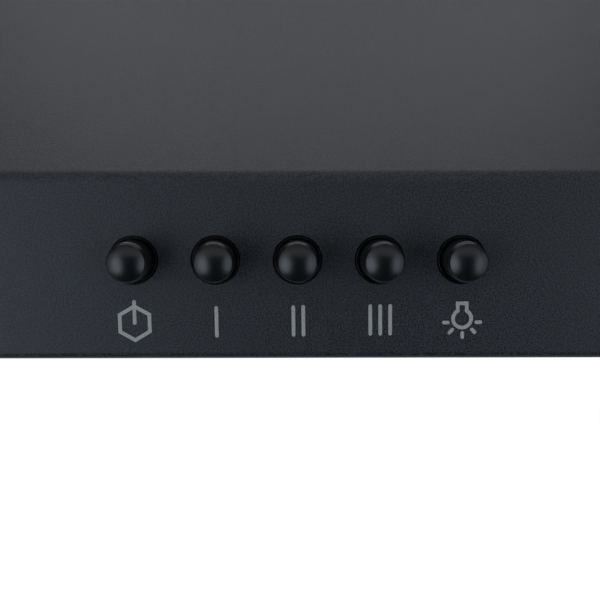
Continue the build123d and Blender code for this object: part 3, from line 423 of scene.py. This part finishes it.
def punchedSheet(grid, rowStart, colStarts, n, hole, ringSteps):
    # grid of quads in which each square block of n by n cells, centred on a button, holds a round opening;
    # rings run from the block's border in to the opening, evenly spaced along each spoke
    rows, cols = grid.shape[:2]
    i, j = np.meshgrid(np.arange(rows - 1), np.arange(cols - 1), indexing="ij")
    index = np.arange(rows * cols).reshape(rows, cols)
    quads = np.stack([index[i, j], index[i, j + 1], index[i + 1, j + 1], index[i + 1, j]], -1)
    keep = np.ones(quads.shape[:2], bool)
    verts, faces, offset = [grid.reshape(-1, 3)], [], rows * cols
    share = (np.arange(1, ringSteps + 1) / ringSteps)[:, None, None]
    for c0 in colStarts:
        keep[rowStart:rowStart + n, c0:c0 + n] = False
        block = index[rowStart:rowStart + n + 1, c0:c0 + n + 1]
        edge = np.concatenate([block[0, :-1], block[:-1, -1], block[-1, :0:-1], block[:0:-1, 0]])
        border = grid.reshape(-1, 3)[edge]
        centre = border.mean(0)
        out = border - centre
        circle = centre + out / np.linalg.norm(out, axis=1)[:, None] * hole
        rings = border[None] * (1 - share) + circle[None] * share
        m = len(edge)
        ringIndex = np.vstack([edge[None], offset + np.arange(ringSteps * m).reshape(-1, m)])
        k = (np.arange(m) + 1) % m
        for a, b in zip(ringIndex[:-1], ringIndex[1:]):
            faces.append(np.stack([a, a[k], b[k], b], -1))
        verts.append(rings.reshape(-1, 3))
        offset += ringSteps * m
    return np.vstack(verts), np.vstack([quads[keep]] + faces)


def canopyPiece(s):
    grid, first, columns = canopyGrid(s)
    starts = [first + int(np.argmin(np.abs(columns - (x / mm - s["cell"])))) for x in buttonXs]
    belowButtons = 2 + s["bendSteps"] + 1    # rows of the bottom flange, the rim arc and its support
    verts, faces = punchedSheet(grid, belowButtons, starts, s["cellSteps"], s["hole"] * mm, s["ringSteps"])
    skin = newPiece("canopySkin", verts, faces, foldAngle)
    wall = skin.modifiers.new("sheet", "SOLIDIFY")
    wall.thickness = s["sheet"] * mm
    wall.offset = -1
    wall.use_even_offset = True
    softEdges(skin, s["edge"])
    paint(skin, "black_paint")
    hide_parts("canopy_shell")
    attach(skin, "root")
    rearSeams(s, grid)


def rearSeams(s, grid):
    # flat strips turned in from the side walls' rear edges, one sheet thick, from the rim bend to the top;
    # they stop a hair inside the walls, so that no two faces lie on each other
    edge = grid[3:-1, 0] / mm
    sheet = s["sheet"]
    parts = []
    for side in (-1, 1):
        outer = np.stack([np.abs(edge[:, 0]) - s["seamInset"], edge[:, 2]], -1)
        outer[0, 1] += sheet
        outer[-1, 1] -= sheet
        inner = outer - [s["rearFlange"], 0]
        corners = ((outer, -sheet), (inner, -sheet), (inner, -2 * sheet), (outer, -2 * sheet))
        ring = [np.c_[side * line[:, 0], np.full(len(line), y), line[:, 1]] * mm for line, y in corners]
        n = len(edge)
        i = np.arange(n - 1)[:, None]
        k = np.arange(4)[None, :]
        quads = np.stack([i + k * n, i + 1 + k * n, i + 1 + (k + 1) % 4 * n, i + (k + 1) % 4 * n], -1).reshape(-1, 4)
        caps = [[0, n, 2 * n, 3 * n], [4 * n - 1, 3 * n - 1, 2 * n - 1, n - 1]]
        faces = [list(f) for f in quads] + caps
        parts.append((np.vstack(ring), [f[::-1] if side > 0 else f for f in faces]))
    verts, faces = joinParts(parts)
    seams = newPiece("canopyRearSeams", verts, faces, foldAngle)
    paint(seams, "black_paint")
    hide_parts("canopy_shell")
    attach(seams, "root")


studSet = {"radius": 2.0, "length": 9.0, "x": 72.0, "chamfer": 0.5, "root": 0.1, "steps": 24}


def switchStuds(s):
    # two studs welded to the back of the fascia, chamfered at their tips, their roots sunk a little in the sheet
    sheet = canopySet["sheet"]
    tip = sheet + s["length"]
    neck = s["radius"] - s["chamfer"]
    root = -sheet + s["root"]
    profile = np.array([(0, -tip), (neck, -tip), (s["radius"], -tip + s["chamfer"]), (s["radius"], -sheet),
                        (neck, root), (0, root)]) * mm
    parts = [turnedParts(profile, (side * s["x"] * mm, faceY, buttonZ), (0, -1, 0), s["steps"]) for side in (-1, 1)]
    studs = newPiece("switchStuds", *joinParts(parts), foldAngle)
    paint(studs, "black_paint")
    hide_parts("canopy_shell")
    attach(studs, "root")


canopyPiece(canopySet)
switchStuds(studSet)
print("canopy folded")


# ---------- push buttons ----------
capSet = {"base": 6.24, "neck": 6.2, "neckAt": 10.0, "shoulder": 1.6, "shoulderTurn": 48.0, "groove": 5.3,
          "crownEdge": 5.8, "crownAt": 11.26, "rim": 0.8, "crown": 10.24, "flange": 7.6, "flangeThick": 1.5,
          "steps": 128, "shoulderSteps": 12, "rimSteps": 22, "crownSteps": 30,
          # play in the guide: how far each button leans sideways for its length out of the fascia
          "lean": {"power": 0.0, "speed_1": 0.038, "speed_2": 0.004, "speed_3": 0.038, "lamp": -0.006}}


def capProfile(s, back, flangeFront):
    # from the middle of the back face out round the flange, up the tapered barrel, over its sloping shoulder
    # into the groove, round the rim arc and along the larger crown arc that it runs into, to the tip
    rimMid = s["crownEdge"] - s["rim"]
    crownMid = s["crownAt"] - math.sqrt((s["crown"] - s["rim"]) ** 2 - rimMid ** 2)
    join = math.degrees(math.atan2(s["crownAt"] - crownMid, rimMid))
    foot = -math.degrees(math.acos((s["groove"] - rimMid) / s["rim"]))
    bend = s["shoulder"]
    rise = bend * math.sin(math.radians(s["shoulderTurn"]))
    shoulder = arcRows((s["neck"] - bend, s["neckAt"] - rise), bend, 0, s["shoulderTurn"], s["shoulderSteps"])
    rim = arcRows((rimMid, s["crownAt"]), s["rim"], foot, join, s["rimSteps"])
    crown = arcRows((0, crownMid), s["crown"], join, 90, s["crownSteps"])
    rows = [(0, back), (s["flange"], back), (s["flange"], flangeFront), (s["base"], flangeFront), (s["base"], 0)]
    rows += [tuple(p) for p in shoulder]
    rows += [tuple(p) for p in rim] + [tuple(p) for p in crown[1:-1]] + [(0, crownMid + s["crown"])]
    return np.array(rows) * mm


for name, x in zip(buttonOrder, buttonXs):
    node = "button_" + name
    backDepth = (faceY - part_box(node)[1].y) / mm
    profile = capProfile(capSet, backDepth, backDepth + capSet["flangeThick"])
    verts, faces = turnedParts(profile, (x, faceY, buttonZ), (0, -1, 0), capSet["steps"])
    verts[:, 0] += (faceY - verts[:, 1]) * capSet["lean"][name]
    cap = newPiece("cap_" + name, verts, faces)
    paint(cap, "satin_black_plastic")
    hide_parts(node)
    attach(cap, name + "_key")
print("buttons turned")


# ---------- button guide ----------
guideSet = {"outer": 7.02, "inner": 6.82, "proud": 0.0, "depth": 2.9, "steps": 128, "lip": 0.09, "lipSteps": 4,
            "plate": 2.0, "cell": 9.0, "cellSteps": 16, "ringSteps": 2, "edge": 0.25, "edgeSteps": 2}


def bushRows(s):
    # wall section: straight outside and inside, a flat end in front with both its edges rounded
    edge = s["lip"]
    outside = arcRows((s["outer"] - edge, s["proud"] - edge), edge, 0, 90, s["lipSteps"])
    inside = arcRows((s["inner"] + edge, s["proud"] - edge), edge, 90, 180, s["lipSteps"])
    return np.vstack([[(s["outer"], -s["depth"])], outside, inside, [(s["inner"], -s["depth"])]]) * mm


def guidePiece(s):
    # flat plate behind the fascia with an opening at each button, then the five bushes that stand in them
    low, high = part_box("button_guide")
    steps = np.linspace(-s["cell"], s["cell"], s["cellSteps"] + 1) * mm
    xs = np.array(sorted([low.x, high.x] + [x + step for x in buttonXs for step in steps]))
    zs = np.concatenate([[low.z], buttonZ + steps, [high.z]])
    x, z = np.meshgrid(xs, zs)
    y = np.full_like(x, faceY + canopySet["sheet"] * mm)
    grid = np.stack([x, y, z], -1)
    starts = [int(np.argmin(np.abs(xs - (x0 + steps[0])))) for x0 in buttonXs]
    verts, faces = punchedSheet(grid, 1, starts, s["cellSteps"], s["outer"] * mm, s["ringSteps"])
    plate = newPiece("guidePlate", verts, faces, foldAngle)
    wall = plate.modifiers.new("plate", "SOLIDIFY")
    wall.thickness = s["plate"] * mm
    wall.offset = -1
    softEdges(plate, s["edge"], s["edgeSteps"])
    bushes = [loopParts(bushRows(s), (x0, faceY, buttonZ), (0, -1, 0), s["steps"]) for x0 in buttonXs]
    ring = newPiece("guideBushes", *joinParts(bushes))
    for piece in (plate, ring):
        paint(piece, "satin_black_plastic")
        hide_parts("button_guide")
        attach(piece, "root")


guidePiece(guideSet)
print("button guide made")


# ---------- grease filter mesh ----------
meshSet = {"strand": 1.15, "thick": 0.5, "tilt": 22.0, "weld": 0.1, "edge": 0.3, "latchHalf": 17.8, "latchReach": 33.8,
           # each layer: long way, short way, length of a bond, height in the pack, tilt sign, runs front to back
           "layers": [(12.0, 6.4, 2.2, 0.7, 1, False), (10.6, 5.8, 0, 1.85, 1, True),
                      (11.3, 6.1, 0, 3.0, -1, False), (12.0, 6.4, 0, 4.1, -1, True)]}


def strandParts(path, section):
    # path (strands, points, 2) runs along u; the flat section of four corners (v, height) is carried along each
    n, m = path.shape[:2]
    verts = np.zeros((n, m, 4, 3))
    verts[..., 0] = path[..., None, 0]
    verts[..., 1] = path[..., None, 1] + section[:, 0]
    verts[..., 2] = section[:, 1]
    i, j, k = np.meshgrid(np.arange(n) * m, np.arange(m - 1), np.arange(4), indexing="ij")
    near, far, turn = (i + j) * 4, (i + j + 1) * 4, (k + 1) % 4
    sides = np.stack([near + k, near + turn, far + turn, far + k], -1).reshape(-1, 4)
    first = np.arange(n)[:, None] * m * 4
    caps = np.vstack([first + [3, 2, 1, 0], first + (m - 1) * 4 + [0, 1, 2, 3]])
    return verts.reshape(-1, 3), np.vstack([sides, caps])


def meshLayer(s, layer, size, cut):
    # zigzag strands side by side, each welded to the next at every other corner; the block of the latch is left out
    long, short, bond, height, sign, turned = layer
    spanU, spanV = size[::-1] if turned else size
    cutU, cutV = cut[::-1] if turned else cut
    cols, rows = round(spanU / long * 2), round(spanV / short * 2)
    stepU, stepV = spanU / cols, spanV / rows
    tilt = math.radians(sign * s["tilt"])
    w, t = s["strand"] / 2, s["thick"] / 2
    corners = np.array([(-w, -t), (w, -t), (w, t), (-w, t)])
    section = corners @ np.array([[math.cos(tilt), math.sin(tilt)], [-math.sin(tilt), math.cos(tilt)]])
    section[:, 1] += height
    row, col = np.meshgrid(np.arange(rows), np.arange(cols + 1), indexing="ij")
    up = (row + col) % 2
    v = (row + 0.5) * stepV + (up - 0.5) * (stepV - s["strand"] + s["weld"])
    u = np.stack([col * stepU - bond / 2, col * stepU + bond / 2], -1) if bond else (col * stepU)[..., None]
    path = np.stack([np.clip(u, 0, spanU), np.broadcast_to(v[..., None], u.shape)], -1)
    inCut = ((np.arange(rows) + 1) * stepV > cutV[0]) & (np.arange(rows) * stepV < cutV[1])
    before = int((cutU[0] - bond / 2) // stepU)
    after = int(-(-(cutU[1] + bond / 2) // stepU))
    blocks = [path[~inCut], path[inCut, :before + 1], path[inCut, after:]]
    parts = [strandParts(b.reshape(len(b), -1, 2), section) for b in blocks if b.shape[0] and b.shape[1] > 1]
    if turned:
        for verts, _ in parts:
            verts[:, 0], verts[:, 1] = size[0] - verts[:, 1], verts[:, 0].copy()
    return parts


def filterMesh(s, side):
    low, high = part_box("filter_mesh_" + side)
    frameLow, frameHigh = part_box("filter_frame_" + side)
    size = ((high.x - low.x) / mm - 2 * s["edge"], (high.y - low.y) / mm - 2 * s["edge"])
    latchX = ((frameLow.x + frameHigh.x) / 2 - low.x) / mm - s["edge"]
    latchY = (frameLow.y - low.y) / mm - s["edge"] + s["latchReach"]
    cut = ((latchX - s["latchHalf"], latchX + s["latchHalf"]), (-1, latchY))
    parts = []
    for layer in s["layers"]:
        # a layer turned to run front to back counts its rows from the far side
        flip = ((size[0] - cut[0][1], size[0] - cut[0][0]), cut[1]) if layer[-1] else cut
        parts += meshLayer(s, layer, size, flip)
    verts, faces = joinParts(parts)
    verts = verts * mm + [low.x + s["edge"] * mm, low.y + s["edge"] * mm, low.z]
    mesh = newPiece("expandedMesh_" + side, verts, faces, foldAngle)
    paint(mesh, "mesh_aluminium")
    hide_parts("filter_mesh_" + side)
    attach(mesh, "filter_" + side)


for side in ("left", "right"):
    filterMesh(meshSet, side)
print("filter meshes laid")


# ---------- screws ----------
screwSet = {"radius": 1.55, "root": 1.3, "pitch": 0.7, "head": 3.2, "height": 1.8, "dome": 0.35, "edge": 0.6,
            "edgeTurn": 75, "edgeSteps": 6, "domeFrom": 1.1, "domeSteps": 22, "steps": 72, "sharp": 35.0,
            "arm": 0.42, "reach": 1.6, "deep": 1.0, "blur": 0.13,
            # places that the solids' boxes don't give: panel screws behind the fascia, shank of the chimney's screws
            "panelRows": (120.0, 360.0), "flueShank": 5.0}


def screwProfile(s, shank):
    # from the tip up the thread's ridges, out under the head, round its edge and over a shallow dome to the middle
    turns = int(shank // s["pitch"])
    ridge = np.array([(s["radius"] if i % 2 else s["root"], -shank + i * shank / (2 * turns))
                      for i in range(2 * turns + 1)])
    edge = s["edge"]
    rim = arcRows((s["head"] - edge, s["height"] - s["dome"] - edge), edge, 0, s["edgeTurn"], s["edgeSteps"])
    radius = np.linspace(s["head"] - edge * s["domeFrom"], 0, s["domeSteps"])
    dome = np.stack([radius, s["height"] - s["dome"] * (radius / s["head"]) ** 2], -1)
    return np.vstack([[(0, -shank)], ridge, [(s["radius"], 0), (s["head"], 0)], rim, dome])


def screwParts(s, place, axis, shank):
    # the turned form with a cross sunk into its head: the depth fades out at the arms' sides and ends
    verts, faces = turnedParts(screwProfile(s, shank), (0, 0, 0), (0, 0, 1), s["steps"])
    x, y, z = verts.T
    arm, along = np.minimum(abs(x), abs(y)), np.maximum(abs(x), abs(y))
    blur = s["blur"]
    inArm = np.clip((s["arm"] + blur - arm) / (2 * blur), 0, 1)
    inReach = np.clip((s["reach"] + blur - along) / (2 * blur), 0, 1)
    z = z - s["deep"] * inArm * inReach * (z > s["height"] / 2)
    axis = np.array(axis, float)
    side = np.array([0.0, 1.0, 0.0]) if abs(axis[0]) > 0.5 else np.array([1.0, 0.0, 0.0])
    turned = x[:, None] * side + y[:, None] * np.cross(axis, side) + z[:, None] * axis
    return turned * mm + np.array(place), faces


def screwPiece(node, places, axes, shank):
    parts = [screwParts(screwSet, place, axis, shank) for place, axis in zip(places, axes)]
    piece = newPiece(node.replace("_", "") + "Crossed", *joinParts(parts), screwSet["sharp"])
    paint(piece, "screw_steel")
    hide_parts(node)
    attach(piece, "root")


def screwPlaces(s):
    head, height = s["head"] * mm, s["height"] * mm
    low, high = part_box("panel_screws")
    lampX = midOf("lamp_bezel_right").x
    sides = [(side * (high.x - head), y, rimZ) for side in (-1, 1)
             for y in (faceY + row * mm for row in s["panelRows"])]
    fronts = [(side * lampX, low.y + head, rimZ) for side in (-1, 1)]
    screwPiece("panel_screws", sides + fronts, [(0, 0, -1)] * 6, (high.z - rimZ) / mm)
    low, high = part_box("deck_screws")
    corners = [(x, y, high.z - height) for x in (low.x + head, high.x - head) for y in (low.y + head, high.y - head)]
    screwPiece("deck_screws", corners, [(0, 0, 1)] * 4, (high.z - low.z - height) / mm)
    low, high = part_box("lower_flue_screws")
    middle = (low + high) / 2
    ends = [(low.x + height, middle.y, middle.z), (high.x - height, middle.y, middle.z)]
    screwPiece("lower_flue_screws", ends, [(-1, 0, 0), (1, 0, 0)], s["flueShank"])


screwPlaces(screwSet)
print("screws turned")


# ---------- printed marks ----------
markSet = {"stroke": 1.12, "endSteps": 14, "over": 0.3, "lift": 0.02, "thick": 0.03,
           "drop": 18.79, "shift": 0.23, "pitch": 25.15, "tilt": 0.6, "barLength": 9.75, "barPitch": 3.05,
           "hexRadius": 5.26, "hexBarTop": 7.1, "hexBarLow": -0.6, "hexDrop": -0.1,
           "bulbRadius": 2.78, "bulbSteps": 60, "neckHalf": 1.375, "neckTop": 4.735, "bulbRise": 0.09,
           # rays round the bulb, each from one end to the other, measured from the bulb's middle
           "rays": [((-5.6, -1.16), (-4.4, -1.16)), ((5.6, -1.16), (4.4, -1.16)), ((-3.02, -3.4), (-3.86, -4.3)),
                    ((3.02, -3.4), (3.86, -4.3)), ((0.1, -4.45), (0.1, -5.75))]}


def stadium(a, b, width):
    # outline of a stroke with round ends, going round anticlockwise
    a, b = np.array(a, float), np.array(b, float)
    steps = markSet["endSteps"]
    heading = math.degrees(math.atan2(b[1] - a[1], b[0] - a[0]))
    first = arcRows(b, width / 2, heading - 90, heading + 90, steps)
    second = arcRows(a, width / 2, heading + 90, heading + 270, steps)
    return np.vstack([first, second])


def strokeLoop(points, width):
    # outline pairs either side of a closed centre line, mitred at each corner
    p = np.array(points, float)
    ahead = np.roll(p, -1, 0) - p
    behind = p - np.roll(p, 1, 0)
    ahead /= np.linalg.norm(ahead, axis=1)[:, None]
    behind /= np.linalg.norm(behind, axis=1)[:, None]
    normalA = np.stack([-ahead[:, 1], ahead[:, 0]], -1)
    normalB = np.stack([-behind[:, 1], behind[:, 0]], -1)
    mitre = normalA + normalB
    mitre /= np.sum(mitre * normalA, 1)[:, None]
    return p - mitre * width / 2, p + mitre * width / 2


def flatPlate(outline):
    # thin plate: the outline in front, the same outline behind, and a wall between
    n = len(outline)
    verts = np.vstack([np.c_[outline, np.ones(n)], np.c_[outline, np.zeros(n)]])
    j = np.arange(n)
    k = (j + 1) % n
    walls = np.stack([j, j + n, k + n, k], -1)
    return verts, [list(range(n)), list(range(2 * n - 1, n - 1, -1))] + [list(f) for f in walls]


def stripPlate(right, left):
    # thin plate between two matching closed outlines
    n = len(right)
    verts = np.vstack([np.c_[right, np.ones(n)], np.c_[left, np.ones(n)],
                       np.c_[left, np.zeros(n)], np.c_[right, np.zeros(n)]])
    j = np.arange(n)
    k = (j + 1) % n
    faces = []
    for a, b in ((0, 1), (1, 2), (2, 3), (3, 0)):
        faces += [list(f) for f in np.stack([j + a * n, k + a * n, k + b * n, j + b * n], -1)]
    return verts, faces


def markPlace(verts, index):
    # from mark millimetres to the fascia: tilted as a whole row, in front of the paint by the lift
    s = markSet
    tilt = math.radians(s["tilt"])
    x = verts[:, 0] + (index - len(buttonOrder) // 2) * s["pitch"]
    z = verts[:, 1]
    depth = s["lift"] + verts[:, 2] * s["thick"]
    turnedX = x * math.cos(tilt) - z * math.sin(tilt) + s["shift"]
    turnedZ = x * math.sin(tilt) + z * math.cos(tilt) - s["drop"]
    return np.c_[turnedX * mm, faceY - depth * mm, buttonZ + turnedZ * mm]


def makeMark(name, index, parts):
    verts, faces = joinParts(parts)
    mark = newPiece(name, markPlace(verts, index), faces, foldAngle)
    paint(mark, "white_plastic", markInk)
    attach(mark, "root")


def makeMarks(s):
    width = s["stroke"]
    corners = [(s["hexRadius"] * math.sin(math.radians(60 * i)),
                s["hexRadius"] * math.cos(math.radians(60 * i)) + s["hexDrop"]) for i in range(6)]
    hexagon = stripPlate(*strokeLoop(corners[::-1], width))
    stem = flatPlate(stadium((0, s["hexBarLow"] + width / 2), (0, s["hexBarTop"] - width / 2), width))
    stem[0][:, 2] += s["over"]                                   # printed over the hexagon, so no two faces meet
    makeMark("markPower", 0, [hexagon, stem])
    for index in (1, 2, 3):
        bars = []
        half = s["barLength"] / 2 - width / 2
        for i in range(index):
            x = (i - (index - 1) / 2) * s["barPitch"]
            bars.append(flatPlate(stadium((x, -half), (x, half), width)))
        makeMark("markSpeed%d" % index, index, bars)
    rise = s["bulbRise"]
    gap = math.degrees(math.acos(s["neckHalf"] / s["bulbRadius"]))
    ring = arcRows((0, rise), s["bulbRadius"], 180 - gap, 360 + gap, s["bulbSteps"])
    neckTop = rise + s["neckTop"]
    neck = [(s["neckHalf"], neckTop), (-s["neckHalf"], neckTop)]
    line = np.vstack([ring, neck])
    bulb = stripPlate(*strokeLoop(line, width))
    rays = [[(x, rise + y) for x, y in ray] for ray in s["rays"]]
    makeMark("markLamp", 4, [bulb] + [flatPlate(stadium(a, b, width)) for a, b in rays])


makeMarks(markSet)
print("marks printed")


# ---------- floor, world and lights ----------
stageSet = {"drop": 0.9, "half": 12.0, "white": 1.0, "shade": 0.05, "rough": 0.9}
worldSet = {"ambient": 0.04, "mirror": 0.03, "tint": (0.78, 0.96, 1.3)}


def makeFloor(s):
    # white to the camera, with the shadow of the part still on it; grey to other rays, and clear from below
    half = s["half"]
    z = rimZ - s["drop"]
    floor = newPiece("floor", [(-half, -half, z), (half, -half, z), (half, half, z), (-half, half, z)], [(0, 1, 2, 3)])
    material, tree, shader = newMaterial("paleFloor")
    shader.inputs["Base Color"].default_value = (*grey(s["shade"]), 1)
    shader.inputs["Roughness"].default_value = s["rough"]
    glow = tree.nodes.new("ShaderNodeEmission")
    glow.inputs["Strength"].default_value = s["white"]
    rays = tree.nodes.new("ShaderNodeLightPath")
    side = tree.nodes.new("ShaderNodeNewGeometry")
    clear = tree.nodes.new("ShaderNodeBsdfTransparent")
    add = tree.nodes.new("ShaderNodeAddShader")
    seen = tree.nodes.new("ShaderNodeMixShader")
    under = tree.nodes.new("ShaderNodeMixShader")
    out = tree.nodes["Material Output"]
    tree.links.new(glow.outputs[0], add.inputs[0])
    tree.links.new(shader.outputs[0], add.inputs[1])
    tree.links.new(rays.outputs["Is Camera Ray"], seen.inputs[0])
    tree.links.new(shader.outputs[0], seen.inputs[1])
    tree.links.new(add.outputs[0], seen.inputs[2])
    tree.links.new(side.outputs["Backfacing"], under.inputs[0])
    tree.links.new(seen.outputs[0], under.inputs[1])
    tree.links.new(clear.outputs[0], under.inputs[2])
    tree.links.new(under.outputs[0], out.inputs["Surface"])
    floor.data.materials.append(material)


def makeWorld(s):
    # white to the camera, a dim cool room to all else, dimmer still in reflections
    world = bpy.data.worlds.new("studio")
    world.use_nodes = True
    tree = world.node_tree
    tree.nodes.clear()

    def background(strength, colour=(1, 1, 1)):
        node = tree.nodes.new("ShaderNodeBackground")
        node.inputs["Strength"].default_value = strength
        node.inputs["Color"].default_value = (*colour, 1)
        return node.outputs[0]

    def choice(test, no, yes):
        node = tree.nodes.new("ShaderNodeMixShader")
        for socket, value in zip(node.inputs, (test, no, yes)):
            tree.links.new(value, socket)
        return node.outputs[0]

    rays = tree.nodes.new("ShaderNodeLightPath")
    ambient, mirror = background(s["ambient"], s["tint"]), background(s["mirror"], s["tint"])
    room = choice(rays.outputs["Is Glossy Ray"], ambient, mirror)
    seen = choice(rays.outputs["Is Camera Ray"], room, background(1))
    out = tree.nodes.new("ShaderNodeOutputWorld")
    tree.links.new(seen, out.inputs["Surface"])
    scene.world = world


def softbox(name, place, aim, size, power, colour, shape):
    data = bpy.data.lights.new(name, "AREA")
    data.shape = shape
    data.size, data.size_y = size
    data.energy = power
    data.color = colour
    lamp = bpy.data.objects.new(name, data)
    lamp.location = place
    heading = Vector(aim) - Vector(place)
    lamp.rotation_mode = "QUATERNION"
    lamp.rotation_quaternion = heading.to_track_quat("-Z", "Y")
    lamp.visible_camera = False
    scene.collection.objects.link(lamp)


aimPoint = (0, faceY, buttonZ)
whiteLight = (1, 1, 1)
topLight = (0.98, 0.985, 1.02)
frontLight = (0.93, 0.98, 1.03)
sideLight = (0.85, 0.95, 1.08)
# name, place, aim, size, power in watts, colour, shape
lightSet = [
    ("slopeSoftbox", (0, -0.36, 0.31), (0, -0.42, -0.08), (0.5, 0.14), 0.47, topLight, "RECTANGLE"),
    ("crownSoftbox", (0, faceY - 0.1, 0.42), (0, faceY, -0.1), (0.9, 0.4), 0.4, topLight, "RECTANGLE"),
    ("overheadSoftbox", (0, 0.1, 1.6), (0, -0.3, 0), (2.4, 1.0), 2.2, whiteLight, "RECTANGLE"),
    ("frontTopSoftbox", (0, faceY - 0.93, buttonZ + 0.65), aimPoint, (2.2, 0.6), 2.6, frontLight, "RECTANGLE"),
    ("leftSoftbox", (-1.0, faceY - 0.9, buttonZ - 0.19), aimPoint, (1.52, 1.85), 5.2, sideLight, "ELLIPSE"),
    ("leftCore", (-0.88, faceY - 0.98, buttonZ - 0.22), aimPoint, (0.75, 1.15), 3.9, sideLight, "ELLIPSE"),
    ("rightSoftbox", (1.1, faceY - 0.8, buttonZ - 0.17), aimPoint, (1.3, 1.75), 4.5, sideLight, "ELLIPSE"),
    ("rightCore", (0.95, faceY - 0.92, buttonZ - 0.2), aimPoint, (0.55, 1.05), 1.6, sideLight, "ELLIPSE"),
    ("rearLeftSoftbox", (-1.5, 1.3, 0.7), (0, -0.2, 0.1), (2.0, 2.0), 15, whiteLight, "RECTANGLE"),
    ("rearRightSoftbox", (1.5, 1.3, 0.7), (0, -0.2, 0.1), (2.0, 2.0), 15, whiteLight, "RECTANGLE"),
    ("underSoftbox", (0, 0.5, rimZ - 0.8), (0, 0.5, 0), (3.0, 1.8), 12, whiteLight, "RECTANGLE"),
]

makeFloor(stageSet)
makeWorld(worldSet)
for row in lightSet:
    softbox(*row)
print("floor and lights placed")

scene.view_settings.view_transform = "Standard"
